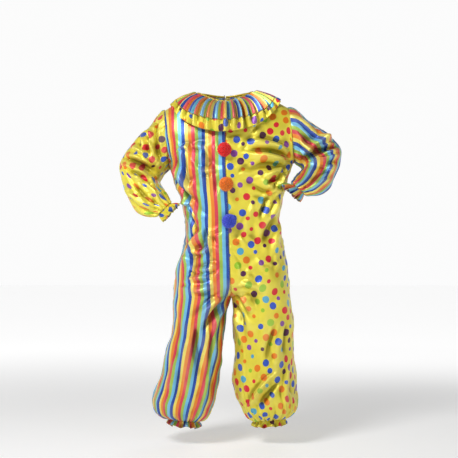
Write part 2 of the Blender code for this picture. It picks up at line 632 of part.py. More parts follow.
def make_collar():
    turn = math.pi - COLLAR_SLIT
    points = collar_grid(np.linspace(-turn, turn, PLEATS * FACETS_PER_WAVE + 1))
    ruffle("collar_flounce", points[FLOUNCE_ROWS], STRIPE_BASE)
    onwards = points[BAND_ROWS[0] + 1] - points[BAND_ROWS[0]]
    points[BAND_ROWS[0]] += onwards * BAND_GAP / np.linalg.norm(onwards, axis=-1, keepdims=True)
    ruffle("collar_band", points[BAND_ROWS], YELLOW)


def make_binding():
    """The narrow yellow binding round the neckline, open at the middle of the back."""
    turn = math.pi - COLLAR_SLIT
    points = neckline_points(np.linspace(-turn, turn, BINDING_POINTS))
    points[:, 2] += BINDING_RADIUS + BINDING_LIFT
    curve = bpy.data.curves.new("neck_binding", "CURVE")
    curve.dimensions = "3D"
    curve.bevel_depth = BINDING_RADIUS
    curve.bevel_resolution = 0
    curve.use_fill_caps = True
    spline = curve.splines.new("POLY")
    spline.points.add(len(points) - 1)
    for place, point in zip(spline.points, points):
        place.co = (*point, 1)
    add_part("neck_binding", curve, YELLOW)


def seam_depth(z):
    """How far forward the middle seam lies at a height."""
    heights = column(STRIPED_SECTIONS, "inner_z")[: TORSO_END + 1]
    depths = column(STRIPED_SECTIONS, "front")[: TORSO_END + 1]
    if z > heights[0]:
        way = np.linspace(0, 1, SEAM_SAMPLES)
        line = yoke_points(STRIPED, FRONT, np.zeros(SEAM_SAMPLES), way)
        return float(np.interp(-z, -line[:, 2], -line[:, 1]))
    return float(np.interp(-z, -heights, depths))


def make_pompom(pompom):
    """A ball of three-sided locks that stand apart on a round core, with none on its sewn side."""
    bm = bmesh.new()
    bmesh.ops.create_icosphere(bm, subdivisions=2, radius=POMPOM_CORE)
    free = [face for face in bm.faces if -face.normal.y > LOCK_LEAST_FACING]
    bmesh.ops.inset_individual(bm, faces=free, thickness=LOCK_GAP)
    bmesh.ops.poke(bm, faces=free, offset=LOCK_LENGTH)
    mesh = bpy.data.meshes.new(pompom.name)
    bm.to_mesh(mesh)
    bm.free()
    part = add_part(pompom.name, mesh, pompom.colour, roughness=0.95)
    part.location = (pompom.x, -seam_depth(pompom.z) - POMPOM_CORE - POMPOM_GAP, pompom.z)


def main():
    for old in list(bpy.data.objects):
        bpy.data.objects.remove(old)
    bpy.context.scene.collection.children.link(bpy.data.collections.new("clown_costume"))
    make_panels()
    make_sleeve("sleeve_dotted", DOTTED_SLEEVE, YELLOW)
    make_sleeve("sleeve_striped", STRIPED_SLEEVE, STRIPE_BASE)
    for frill, rings, colour in zip(CUFF_FRILLS, (DOTTED_SLEEVE, STRIPED_SLEEVE), (YELLOW, STRIPE_BASE)):
        inwards = math.copysign(CUFF_STEP, -frill.outer_x)
        make_frill(frill, rings[-1]._asdict(), (inwards, 0, -CUFF_STEP), colour)
    for frill, half, colour in zip(ANKLE_FRILLS, (STRIPED, DOTTED), (STRIPE_BASE, YELLOW)):
        make_frill(frill, last_section_ring(half), (0, 0, -ANKLE_STEP), colour)
    make_collar()
    make_binding()
    for pompom in POMPOMS:
        make_pompom(pompom)


if __name__ == "__main__":
    main()
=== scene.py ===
"""Clown costume in striped and dotted satin: its folded cloth, frilled collar, pompoms and stage.

Lengths are in metres. X runs to the right as seen from the front, -Y is the front and +Z is up. The
origin is the middle of the neck's base. Each piece of cloth is a grid: one parameter runs across
it or round it, the other runs down it, and its folds are heights along the grid's normals.
"""
import math
from collections import namedtuple

import bpy
import numpy as np
from bpy.props import FloatProperty, FloatVectorProperty, IntProperty, PointerProperty
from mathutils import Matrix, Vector


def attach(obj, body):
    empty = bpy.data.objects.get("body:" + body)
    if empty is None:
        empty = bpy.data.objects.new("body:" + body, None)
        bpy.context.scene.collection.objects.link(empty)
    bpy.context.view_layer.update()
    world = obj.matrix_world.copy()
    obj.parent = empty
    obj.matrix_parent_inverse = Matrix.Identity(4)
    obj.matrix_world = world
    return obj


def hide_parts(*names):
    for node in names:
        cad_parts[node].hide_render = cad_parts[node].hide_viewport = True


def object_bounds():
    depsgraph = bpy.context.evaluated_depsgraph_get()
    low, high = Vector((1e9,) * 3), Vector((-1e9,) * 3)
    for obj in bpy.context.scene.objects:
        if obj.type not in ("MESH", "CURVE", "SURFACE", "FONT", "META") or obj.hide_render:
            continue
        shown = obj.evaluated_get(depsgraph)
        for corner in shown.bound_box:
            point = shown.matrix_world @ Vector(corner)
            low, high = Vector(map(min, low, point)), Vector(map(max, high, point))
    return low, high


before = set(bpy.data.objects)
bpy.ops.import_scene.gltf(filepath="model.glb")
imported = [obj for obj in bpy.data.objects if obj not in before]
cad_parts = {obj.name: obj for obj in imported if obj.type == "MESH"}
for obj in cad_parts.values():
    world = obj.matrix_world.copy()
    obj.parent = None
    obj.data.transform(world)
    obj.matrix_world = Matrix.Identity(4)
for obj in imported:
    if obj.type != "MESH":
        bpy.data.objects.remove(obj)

bl_info = {
    "name": "Clown Costume",
    "version": (1, 0, 0),
    "blender": (4, 5, 0),
    "location": "3D View > Sidebar > Costume",
    "description": "Builds a satin clown costume with folds, pleated collar, frills and pompoms",
    "category": "Object",
}

CAD_BOX = [list(corner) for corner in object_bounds()]
BODY = "root"

SEAM_GAP = 0.0003
ARMHOLE_GAP = 0.00042
CUFF_STEP, ANKLE_STEP = 0.0006, 0.0013  # between an elastic and its frill
FRONT, BACK = -1, 1
FLATNESS = 0.86  # the power on sine and cosine that makes a section squarer than an ellipse

# One row for each section down a half, from the armpit to the elastic at the ankle. front and back
# are the depths from the side seam, and closed goes from 0, where the oval stops at the middle of
# the front, to 1, where it is a whole leg.
Section = namedtuple("Section", "outer_x outer_z inner_x inner_z front back closed")
STRIPED_SECTIONS = (
    Section(-0.237, -0.286, -0.002, -0.286, 0.154, 0.138, 0),
    Section(-0.223, -0.353, 0.003, -0.353, 0.162, 0.136, 0),
    Section(-0.197, -0.428, 0.008, -0.428, 0.165, 0.127, 0),
    Section(-0.178, -0.483, 0.011, -0.483, 0.162, 0.122, 0),
    Section(-0.167, -0.546, 0.012, -0.546, 0.160, 0.130, 0),
    Section(-0.181, -0.630, 0.014, -0.632, 0.163, 0.150, 0),
    Section(-0.198, -0.690, 0.016, -0.700, 0.166, 0.164, 0),
    Section(-0.205, -0.725, 0.018, -0.747, 0.167, 0.169, 0.23),
    Section(-0.209, -0.755, 0.020, -0.787, 0.166, 0.171, 0.59),
    Section(-0.213, -0.785, 0.021, -0.814, 0.163, 0.169, 0.88),
    Section(-0.216, -0.815, 0.022, -0.824, 0.160, 0.166, 1),
    Section(-0.223, -0.882, 0.006, -0.884, 0.153, 0.158, 1),
    Section(-0.231, -0.983, -0.008, -0.985, 0.146, 0.150, 1),
    Section(-0.256, -1.058, -0.013, -1.062, 0.143, 0.147, 1),
    Section(-0.277, -1.134, -0.021, -1.140, 0.142, 0.146, 1),
    Section(-0.294, -1.205, -0.031, -1.214, 0.142, 0.145, 1),
    Section(-0.302, -1.258, -0.052, -1.272, 0.138, 0.140, 1),
    Section(-0.296, -1.298, -0.071, -1.312, 0.122, 0.124, 1),
    Section(-0.270, -1.320, -0.095, -1.334, 0.092, 0.094, 1),
    Section(-0.229, -1.327, -0.119, -1.343, 0.053, 0.053, 1),
)
DOTTED_SECTIONS = (
    Section(0.286, -0.273, -0.002, -0.286, 0.154, 0.138, 0),
    Section(0.262, -0.353, 0.003, -0.353, 0.162, 0.136, 0),
    Section(0.239, -0.428, 0.008, -0.428, 0.165, 0.127, 0),
    Section(0.228, -0.483, 0.011, -0.483, 0.162, 0.122, 0),
    Section(0.228, -0.546, 0.012, -0.546, 0.160, 0.130, 0),
    Section(0.247, -0.630, 0.014, -0.632, 0.163, 0.150, 0),
    Section(0.254, -0.690, 0.016, -0.700, 0.166, 0.164, 0),
    Section(0.258, -0.725, 0.018, -0.747, 0.167, 0.169, 0.23),
    Section(0.262, -0.755, 0.020, -0.787, 0.166, 0.171, 0.59),
    Section(0.266, -0.785, 0.021, -0.814, 0.163, 0.169, 0.88),
    Section(0.271, -0.815, 0.022, -0.824, 0.160, 0.166, 1),
    Section(0.279, -0.882, 0.029, -0.884, 0.153, 0.158, 1),
    Section(0.290, -0.983, 0.030, -0.985, 0.146, 0.150, 1),
    Section(0.294, -1.058, 0.030, -1.062, 0.143, 0.147, 1),
    Section(0.298, -1.134, 0.027, -1.140, 0.142, 0.146, 1),
    Section(0.303, -1.205, 0.033, -1.214, 0.142, 0.145, 1),
    Section(0.306, -1.256, 0.055, -1.266, 0.138, 0.140, 1),
    Section(0.300, -1.295, 0.072, -1.305, 0.122, 0.124, 1),
    Section(0.272, -1.320, 0.095, -1.330, 0.092, 0.094, 1),
    Section(0.238, -1.328, 0.124, -1.337, 0.055, 0.055, 1),
)
LAST = len(STRIPED_SECTIONS) - 1
TORSO_END, CROTCH_END, LEG_TURN = 6, 10, 16  # rows: the hips, the crotch, where the leg turns in

Half = namedtuple("Half", "name sections shoulder_x shoulder_z sign")
STRIPED = Half("striped", STRIPED_SECTIONS, -0.256, -0.046, -1)
DOTTED = Half("dotted", DOTTED_SECTIONS, 0.258, -0.034, 1)
RIDGE_TOP_Z = 0.040
ARMHOLE_DEPTH = 0.080
NECK_X, NECK_Y = -0.003, 0.000
NECK_SEARCH, NECK_STEPS = 0.8, 800  # how far down the yoke its edge is looked for, and how finely
NECK_HALF_WIDTH = 0.118
NECK_DEPTH = {FRONT: 0.100, BACK: 0.084}
CHEST_FULLNESS = {FRONT: 0.80, BACK: 0.50}

# One row for each fold, seen from the front or the back: its two ends, its width, how far it stands
# out or sinks in, how far its middle bends aside as a share of its length, and the side it leans to.
Fold = namedtuple("Fold", "x0 z0 x1 z1 width depth bow lean")
FRONT_FOLDS = (
    Fold(-0.228, -0.250, -0.118, -0.425, 0.022, 0.015, 0.06, 0.3),
    Fold(-0.235, -0.315, -0.128, -0.455, 0.018, -0.013, -0.03, 0.2),
    Fold(-0.214, -0.238, -0.146, -0.262, 0.012, 0.009, -0.62, 0.3),
    Fold(-0.176, -0.192, -0.150, -0.400, 0.014, 0.008, 0.06, -0.3),
    Fold(-0.118, -0.170, -0.096, -0.380, 0.016, 0.006, -0.04, 0.2),
    Fold(-0.052, -0.250, -0.040, -0.455, 0.014, 0.006, 0.05, -0.3),
    Fold(-0.195, -0.280, -0.105, -0.520, 0.011, -0.008, 0.08, 0.1),
    Fold(-0.152, -0.400, -0.088, -0.525, 0.014, 0.010, 0.05, 0.3),
    Fold(-0.166, -0.455, -0.104, -0.562, 0.012, -0.010, 0.04, 0.0),
    Fold(-0.097, -0.540, -0.152, -0.645, 0.015, 0.010, 0.06, 0.4),
    Fold(-0.080, -0.520, -0.083, -0.640, 0.013, -0.009, 0.02, 0.0),
    Fold(-0.112, -0.560, -0.188, -0.725, 0.020, 0.013, 0.05, 0.2),
    Fold(-0.058, -0.530, -0.112, -0.700, 0.016, 0.008, -0.05, -0.2),
    Fold(-0.158, -0.634, -0.058, -0.618, 0.013, 0.010, 0.12, 0.3),
    Fold(-0.138, -0.700, -0.024, -0.686, 0.014, 0.012, 0.14, 0.3),
    Fold(-0.168, -0.742, -0.050, -0.722, 0.014, 0.012, 0.10, 0.3),
    Fold(-0.146, -0.796, -0.038, -0.762, 0.015, 0.013, 0.10, 0.3),
    Fold(-0.205, -0.420, -0.120, -0.438, 0.013, 0.010, 0.10, 0.3),
    Fold(-0.120, -0.300, -0.030, -0.286, 0.016, 0.008, 0.12, 0.3),
    Fold(-0.150, -0.200, -0.060, -0.230, 0.018, 0.009, -0.10, 0.3),
    Fold(0.000, -0.800, -0.125, -0.932, 0.020, 0.018, 0.07, 0.3),
    Fold(-0.004, -0.835, -0.098, -0.985, 0.014, -0.012, 0.08, 0.0),
    Fold(0.004, -0.850, -0.058, -1.000, 0.013, 0.010, 0.08, 0.2),
    Fold(-0.118, -0.925, -0.128, -1.085, 0.014, -0.013, 0.03, 0.2),
    Fold(-0.060, -0.920, -0.076, -1.125, 0.013, -0.010, -0.03, 0.0),
    Fold(-0.150, -0.960, -0.170, -1.255, 0.026, 0.007, 0.03, 0.3),
    Fold(-0.088, -0.980, -0.100, -1.245, 0.020, 0.006, -0.03, -0.2),
    Fold(-0.198, -0.860, -0.222, -1.150, 0.018, -0.005, -0.04, 0.2),
    Fold(-0.205, -1.050, -0.245, -1.285, 0.020, 0.005, 0.03, 0.2),
    Fold(-0.045, -1.100, -0.110, -1.300, 0.016, 0.006, 0.05, 0.2),
    Fold(0.278, -0.232, 0.040, -0.206, 0.020, 0.019, 0.13, 0.4),
    Fold(0.284, -0.272, 0.042, -0.240, 0.018, 0.017, 0.07, 0.4),
    Fold(0.278, -0.254, 0.085, -0.225, 0.013, -0.012, 0.10, 0.0),
    Fold(0.262, -0.290, 0.070, -0.300, 0.020, -0.008, 0.08, 0.1),
    Fold(0.150, -0.110, 0.110, -0.190, 0.016, 0.006, 0.05, 0.2),
    Fold(0.244, -0.286, 0.146, -0.345, 0.012, 0.012, 0.10, 0.4),
    Fold(0.232, -0.300, 0.172, -0.400, 0.012, 0.011, -0.10, 0.3),
    Fold(0.246, -0.295, 0.232, -0.392, 0.011, -0.011, 0.06, 0.0),
    Fold(0.262, -0.300, 0.216, -0.352, 0.010, 0.010, 0.10, 0.3),
    Fold(0.226, -0.330, 0.150, -0.372, 0.010, -0.009, 0.10, 0.0),
    Fold(0.238, -0.395, 0.120, -0.322, 0.018, 0.010, -0.06, 0.2),
    Fold(0.222, -0.405, 0.175, -0.520, 0.014, 0.012, 0.06, 0.4),
    Fold(0.178, -0.395, 0.132, -0.520, 0.013, -0.011, 0.03, 0.0),
    Fold(0.205, -0.470, 0.150, -0.620, 0.018, -0.012, 0.04, 0.1),
    Fold(0.226, -0.500, 0.196, -0.680, 0.018, 0.011, 0.05, 0.3),
    Fold(0.120, -0.420, 0.070, -0.600, 0.020, 0.006, 0.04, 0.2),
    Fold(0.030, -0.780, 0.150, -0.805, 0.016, 0.009, -0.18, 0.3),
    Fold(0.045, -0.800, 0.112, -0.905, 0.016, 0.014, -0.06, 0.3),
    Fold(0.030, -0.835, 0.082, -0.965, 0.012, -0.010, -0.05, 0.0),
    Fold(0.034, -0.860, 0.060, -1.040, 0.012, 0.008, -0.03, 0.2),
    Fold(0.208, -0.915, 0.160, -1.110, 0.013, -0.010, 0.04, 0.1),
    Fold(0.250, -0.915, 0.239, -1.060, 0.012, -0.008, 0.02, 0.0),
    Fold(0.226, -0.950, 0.202, -1.200, 0.020, 0.009, 0.03, 0.3),
    Fold(0.220, -1.112, 0.100, -1.248, 0.015, 0.013, 0.05, 0.4),
    Fold(0.236, -1.150, 0.130, -1.285, 0.013, -0.010, 0.04, 0.0),
    Fold(0.170, -1.150, 0.082, -1.300, 0.016, 0.011, 0.03, 0.3),
    Fold(0.262, -1.080, 0.244, -1.290, 0.016, 0.009, 0.02, 0.2),
)
BACK_FOLDS = (
    Fold(-0.230, -0.245, -0.090, -0.335, 0.022, 0.015, 0.08, 0.3),
    Fold(-0.228, -0.285, -0.070, -0.420, 0.017, -0.011, 0.06, 0.0),
    Fold(-0.205, -0.340, -0.110, -0.480, 0.016, 0.012, 0.06, 0.3),
    Fold(0.275, -0.245, 0.110, -0.340, 0.022, 0.015, -0.08, 0.3),
    Fold(0.268, -0.290, 0.090, -0.425, 0.016, -0.011, -0.06, 0.0),
    Fold(0.245, -0.350, 0.130, -0.490, 0.016, 0.012, -0.06, 0.3),
    Fold(-0.140, -0.120, -0.110, -0.300, 0.018, 0.007, 0.05, 0.2),
    Fold(0.145, -0.120, 0.120, -0.290, 0.018, 0.007, -0.05, 0.2),
    Fold(-0.060, -0.300, -0.045, -0.520, 0.016, 0.007, 0.04, 0.2),
    Fold(0.065, -0.300, 0.058, -0.500, 0.016, 0.007, -0.04, 0.2),
    Fold(-0.172, -0.515, -0.058, -0.622, 0.018, 0.013, 0.10, 0.3),
    Fold(-0.160, -0.560, -0.080, -0.690, 0.015, -0.010, 0.08, 0.0),
    Fold(0.218, -0.515, 0.088, -0.642, 0.018, 0.013, -0.10, 0.3),
    Fold(0.205, -0.560, 0.110, -0.700, 0.015, -0.010, -0.08, 0.0),
    Fold(-0.150, -0.640, -0.050, -0.660, 0.013, 0.008, -0.15, 0.3),
    Fold(0.070, -0.665, 0.180, -0.640, 0.013, 0.008, -0.15, 0.3),
    Fold(0.000, -0.780, -0.135, -0.885, 0.018, 0.016, 0.10, 0.3),
    Fold(0.005, -0.815, -0.110, -0.950, 0.014, -0.012, 0.08, 0.0),
    Fold(0.038, -0.785, 0.165, -0.892, 0.018, 0.016, -0.10, 0.3),
    Fold(0.040, -0.825, 0.140, -0.955, 0.014, -0.012, -0.08, 0.0),
    Fold(-0.125, -0.930, -0.148, -1.120, 0.014, 0.011, 0.04, 0.2),
    Fold(-0.152, -0.980, -0.178, -1.245, 0.020, -0.012, 0.03, 0.1),
    Fold(-0.205, -0.980, -0.238, -1.270, 0.017, 0.010, 0.03, 0.2),
    Fold(-0.080, -0.980, -0.100, -1.260, 0.016, 0.010, 0.04, 0.2),
    Fold(0.120, -0.930, 0.140, -1.120, 0.014, 0.011, 0.04, 0.2),
    Fold(0.155, -0.980, 0.172, -1.245, 0.020, -0.012, 0.03, 0.1),
    Fold(0.215, -0.970, 0.245, -1.260, 0.017, 0.010, 0.03, 0.2),
    Fold(0.075, -1.010, 0.100, -1.280, 0.016, 0.010, 0.04, 0.2),
)
# One row for each patch of small creases: where they lie, their direction in degrees from level and
# its spread, their usual length, width and depth, and how many there are.
Crumple = namedtuple("Crumple", "x0 x1 z0 z1 turn spread length width depth count")
FRONT_CRUMPLES = (
    Crumple(-0.215, -0.015, -0.440, -0.180, -82, 14, 0.110, 0.009, 0.0030, 16),
    Crumple(-0.175, -0.030, -0.800, -0.540, -20, 30, 0.070, 0.009, 0.0040, 20),
    Crumple(-0.270, -0.030, -1.280, -0.900, -86, 9, 0.140, 0.012, 0.0015, 14),
    Crumple(0.030, 0.270, -0.420, -0.160, 8, 26, 0.090, 0.010, 0.0036, 18),
    Crumple(0.160, 0.255, -0.420, -0.270, 30, 60, 0.050, 0.008, 0.0045, 14),
    Crumple(0.030, 0.230, -0.800, -0.480, -64, 26, 0.090, 0.010, 0.0034, 20),
    Crumple(0.050, 0.290, -1.280, -0.860, -80, 14, 0.120, 0.011, 0.0022, 18),
)
BACK_CRUMPLES = (
    Crumple(-0.220, 0.000, -0.460, -0.120, -60, 26, 0.100, 0.010, 0.0034, 18),
    Crumple(0.000, 0.250, -0.460, -0.120, 60, 26, 0.100, 0.010, 0.0034, 18),
    Crumple(-0.180, 0.220, -0.800, -0.500, 0, 34, 0.090, 0.013, 0.0030, 26),
    Crumple(-0.270, -0.030, -1.280, -0.860, -86, 12, 0.120, 0.010, 0.0032, 22),
    Crumple(0.050, 0.290, -1.280, -0.860, -80, 12, 0.120, 0.010, 0.0032, 22),
)

# One row for each ring down a sleeve, from the armhole to the elastic at the wrist. The outer point
# is the shoulder and elbow side, the inner point the armpit side; depth is half the ring's depth.
Ring = namedtuple("Ring", "outer_x outer_z inner_x inner_z y depth")
DOTTED_SLEEVE = (
    Ring(-0.256, -0.046, -0.237, -0.286, 0.000, 0.080),
    Ring(-0.298, -0.078, -0.248, -0.300, 0.003, 0.086),
    Ring(-0.340, -0.124, -0.260, -0.314, 0.006, 0.088),
    Ring(-0.378, -0.167, -0.269, -0.325, 0.010, 0.088),
    Ring(-0.416, -0.210, -0.275, -0.334, 0.012, 0.087),
    Ring(-0.441, -0.246, -0.279, -0.342, 0.012, 0.086),
    Ring(-0.453, -0.283, -0.279, -0.350, 0.008, 0.086),
    Ring(-0.441, -0.326, -0.273, -0.359, -0.002, 0.085),
    Ring(-0.424, -0.371, -0.261, -0.372, -0.016, 0.083),
    Ring(-0.403, -0.420, -0.246, -0.389, -0.034, 0.080),
    Ring(-0.370, -0.460, -0.233, -0.406, -0.052, 0.073),
    Ring(-0.330, -0.486, -0.226, -0.415, -0.068, 0.060),
    Ring(-0.300, -0.493, -0.224, -0.426, -0.084, 0.043),
    Ring(-0.278, -0.485, -0.230, -0.436, -0.096, 0.031),
)
STRIPED_SLEEVE = (
    Ring(0.258, -0.034, 0.286, -0.273, 0.000, 0.080),
    Ring(0.296, -0.045, 0.296, -0.277, 0.003, 0.086),
    Ring(0.333, -0.078, 0.304, -0.280, 0.006, 0.088),
    Ring(0.374, -0.109, 0.310, -0.283, 0.010, 0.088),
    Ring(0.420, -0.144, 0.314, -0.286, 0.012, 0.087),
    Ring(0.458, -0.177, 0.316, -0.290, 0.012, 0.086),
    Ring(0.481, -0.219, 0.314, -0.294, 0.006, 0.086),
    Ring(0.475, -0.265, 0.309, -0.299, -0.008, 0.085),
    Ring(0.458, -0.307, 0.301, -0.305, -0.028, 0.083),
    Ring(0.435, -0.345, 0.292, -0.313, -0.052, 0.080),
    Ring(0.405, -0.378, 0.283, -0.323, -0.076, 0.073),
    Ring(0.372, -0.402, 0.275, -0.334, -0.098, 0.060),
    Ring(0.342, -0.408, 0.269, -0.346, -0.114, 0.042),
    Ring(0.322, -0.400, 0.270, -0.357, -0.124, 0.031),
)
DOTTED_SLEEVE_FOLDS = (
    Fold(-0.452, -0.232, -0.262, -0.352, 0.015, -0.022, -0.08, 0.1),
    Fold(-0.462, -0.262, -0.275, -0.378, 0.014, 0.013, -0.08, 0.3),
    Fold(-0.415, -0.185, -0.252, -0.315, 0.016, 0.015, -0.06, 0.3),
    Fold(-0.345, -0.130, -0.255, -0.280, 0.014, -0.008, -0.05, 0.1),
    Fold(-0.312, -0.085, -0.292, -0.290, 0.014, 0.013, 0.05, 0.3),
    Fold(-0.288, -0.070, -0.272, -0.270, 0.011, -0.010, 0.03, 0.0),
    Fold(-0.352, -0.120, -0.318, -0.290, 0.013, 0.010, 0.05, 0.3),
    Fold(-0.430, -0.350, -0.300, -0.470, 0.014, 0.011, 0.05, 0.3),
    Fold(-0.400, -0.330, -0.270, -0.450, 0.012, -0.009, 0.04, 0.0),
    Fold(-0.350, -0.350, -0.255, -0.440, 0.013, 0.010, -0.04, 0.2),
    Fold(-0.410, -0.300, -0.320, -0.350, 0.012, 0.008, 0.10, 0.2),
)
STRIPED_SLEEVE_FOLDS = (
    Fold(0.292, -0.070, 0.440, -0.190, 0.016, 0.012, 0.06, 0.3),
    Fold(0.286, -0.115, 0.420, -0.240, 0.014, -0.010, 0.05, 0.0),
    Fold(0.290, -0.150, 0.400, -0.275, 0.015, 0.012, 0.05, 0.3),
    Fold(0.290, -0.205, 0.345, -0.290, 0.013, -0.010, 0.04, 0.0),
    Fold(0.486, -0.192, 0.292, -0.282, 0.015, -0.028, 0.09, 0.1),
    Fold(0.476, -0.158, 0.300, -0.242, 0.016, 0.018, 0.09, -0.3),
    Fold(0.484, -0.230, 0.300, -0.322, 0.016, 0.018, 0.08, 0.3),
    Fold(0.455, -0.285, 0.318, -0.365, 0.013, -0.009, 0.05, 0.0),
    Fold(0.430, -0.330, 0.322, -0.390, 0.013, 0.009, 0.05, 0.3),
    Fold(0.375, -0.115, 0.450, -0.200, 0.013, 0.008, 0.08, 0.2),
)
SLEEVE_CRUMPLES = {
    "dotted": (
        Crumple(-0.420, -0.260, -0.340, -0.090, -45, 30, 0.090, 0.011, 0.0028, 22),
        Crumple(-0.430, -0.250, -0.470, -0.340, -40, 22, 0.070, 0.010, 0.0028, 16),
    ),
    "striped": (
        Crumple(0.280, 0.450, -0.280, -0.070, -42, 20, 0.110, 0.012, 0.0024, 16),
        Crumple(0.290, 0.460, -0.390, -0.250, 32, 20, 0.080, 0.011, 0.0024, 12),
    ),
}

# One row for each frill below an elastic: its last ring, where the first is the elastic's own.
Frill = namedtuple("Frill", "name outer_x outer_z inner_x inner_z y depth waves wave_depth")
CUFF_FRILLS = (
    Frill("cuff_frill_dotted", -0.254, -0.510, -0.190, -0.438, -0.122, 0.046, 10, 0.006),
    Frill("cuff_frill_striped", 0.300, -0.430, 0.228, -0.361, -0.150, 0.046, 10, 0.006),
)
ANKLE_FRILLS = (
    Frill("ankle_frill_striped", -0.248, -1.354, -0.106, -1.370, 0.0, 0.068, 12, 0.009),
    Frill("ankle_frill_dotted", 0.252, -1.358, 0.110, -1.366, 0.0, 0.068, 12, 0.009),
)

PLEATS = 40
COLLAR_SLIT = 0.010  # radians on each side of the middle of the back, where it opens
COLLAR_X = -0.003
COLLAR_HALF_WIDTH = 0.228
COLLAR_REACH = {FRONT: 0.180, BACK: 0.172}
COLLAR_EDGE_Z = {"front": -0.150, "side": -0.0165, "back": -0.100}
COLLAR_TILT = 0.022  # how much higher it lies for each metre towards +X
COLLAR_PUFF = 0.012
COLLAR_CLEARANCE = 0.0025
COLLAR_START = 0.03  # of its width, where it comes out from the binding
BAND_START = 0.75  # of the way from the neckline to the collar's edge
BAND_LIFT = 0.0010  # how far its seam stands on the flounce
PLEAT_DEPTH_NECK, PLEAT_DEPTH_EDGE, PLEAT_DEPTH_SHOULDER = 0.0060, 0.0112, 0.0070
BINDING_RADIUS = 0.003
BINDING_LIFT = 0.0020
BINDING_WALL = 0.0009
BINDING_PITCH = 0.0068  # between the stitches that pull it in
BINDING_STITCH = 0.002

Pompom = namedtuple("Pompom", "name x z")
POMPOMS = (
    Pompom("pompom_red", -0.006, -0.219),
    Pompom("pompom_orange", 0.001, -0.360),
    Pompom("pompom_blue", 0.013, -0.510),
)
POMPOM_CORE = 0.0195
POMPOM_SEAT = 0.0006  # between its core and the cloth
POMPOM_RADIUS = 0.029
CORE_SHARE = 0.78
# A strand's rings: how far out they are as a share of its length, how thick, and how light they are
# painted, from painted shade near the core to painted light at the tip.
StrandRing = namedtuple("StrandRing", "way radius light")
STRAND_RINGS = (
    StrandRing(0.60, 0.0008, 0.0),
    StrandRing(0.88, 0.0015, 0.6),
    StrandRing(1.00, 0.0009, 1.0),
)
STRAND_LENGTHS, STRAND_THICKNESSES = (0.87, 1.05), (0.8, 1.2)
STRAND_BEND, STRAND_NUDGE = 0.0022, 0.06  # a length, and a share of a unit direction
STRAND_MOST_BACK = 0.55  # strands that would point further into the cloth are left off
# The painted lightness of the core that shows between the strands: painted shade, darker than their
# tips.
CORE_PAINTED_LIGHTNESS = 0.45  # of the core that shows between them

# The small forms of the cloth. A gather's share is how deep it is beside the cloth's gather depth.
Swell = namedtuple("Swell", "depth wavelength seed")
SWELLS = (Swell(0.0045, 0.19, 3), Swell(0.0016, 0.065, 5))
Gather = namedtuple("Gather", "spacing reach share")
LEG_GATHER, SLEEVE_GATHER = Gather(0.030, 0.135, 1.0), Gather(0.036, 0.130, 0.9)
LEG_FULLNESS, SLEEVE_FULLNESS = 0.17, 0.12  # how much more cloth they take in than they are round
GATHER_RISE = 0.012  # from the elastic to where they are fully deep
PUCKER_DEPTH, PUCKER_DEPTH_ARMHOLE, PUCKER_SPACING = 0.0008, 0.0022, 0.034
PUCKER_PLACE = 0.011  # from the seam to where they are deepest
PUCKER_ON_LEG = 0.5  # of the puckers' depth on the body
SEAM_DIP, SEAM_DIP_WIDTH = 0.0016, 0.0045
FOLD_BOOST = 1.4
BACK_FOLD_SHARE = 0.9  # how deep a sleeve's folds are behind, beside those in front

# How far from each edge the folds have their full height, and what is left of it on the middle seam.
SIDE_FADE, MIDDLE_FADE, INSEAM_FADE, ELASTIC_FADE, ARMHOLE_FADE = 0.075, 0.045, 0.060, 0.03, 0.04
UNDERARM_FADE = 0.01  # from the armhole to where a sleeve's own seam is fully sunk
NECK_FADE = 0.5  # of the way from the shoulder's ridge to the armpit
MIDDLE_KEPT = 0.45

# Seeds of what is uneven. A panel adds its side, and a frill or pompom its number.
FOLD_SEED, GATHER_SEED, MIDDLE_SEED, SIDE_SEED = 7, 11, 21, 22
PLEAT_SEED, PLEAT_SWELL_SEED = 31, 32
SLEEVE_SEEDS = {"dotted": 51, "striped": 61}
SLEEVE_BACK_SEED, SLEEVE_SEAM_SEED = 40, 3  # added to the sleeve's own
FRILL_SEED, POMPOM_SEED = 71, 81

# How finely each kind of piece is cut, and how far its rows close up towards the elastic.
COLUMNS = {FRONT: 100, BACK: 84}
YOKE_ROWS, TORSO_ROWS, CROTCH_ROWS, LEG_ROWS = 72, 100, 30, 128
SLEEVE_COLUMNS, SLEEVE_ROWS = 120, 150
LEG_CROWDING, SLEEVE_CROWDING = 0.92, 0.95
COLUMNS_PER_PLEAT, FLOUNCE_ROWS, BAND_ROWS = 20, 26, 10
COARSE_ROWS, COARSE_COLUMNS = 24, 160  # the collar's smooth surface, before its pleats
BINDING_STEPS, BINDING_SIDES = 360, 14
FRILL_COLUMNS_PER_WAVE, FRILL_ROWS = 22, 16

# What each kind of piece is cut to, how it is held, and its area where it isn't a rectangle.
Cut = namedtuple("Cut", "width length held area")
BACK_CUT = 3.17  # how far along the cloth the back panels are cut from

STRIPES = ("dark_blue", "light_blue", "green", "red", "orange", "yellow")
STRIPE_WIDTH = 0.014
DOTS = ("red", "blue", "orange", "sky", "red", "violet", "orange", "green", "blue", "plum")
DOT_SPACING = 0.045
DOT_RADII = (0.0083, 0.0116, 0.0148)
DOT_CHANCES = (0.0, 0.25, 0.52)  # where each radius starts, of all dots
STITCH_INSET, STITCH_WIDTH, STITCH_PITCH = 0.0026, 0.0006, 0.0032
STITCH_SHARE = 0.7  # of the pitch that is thread
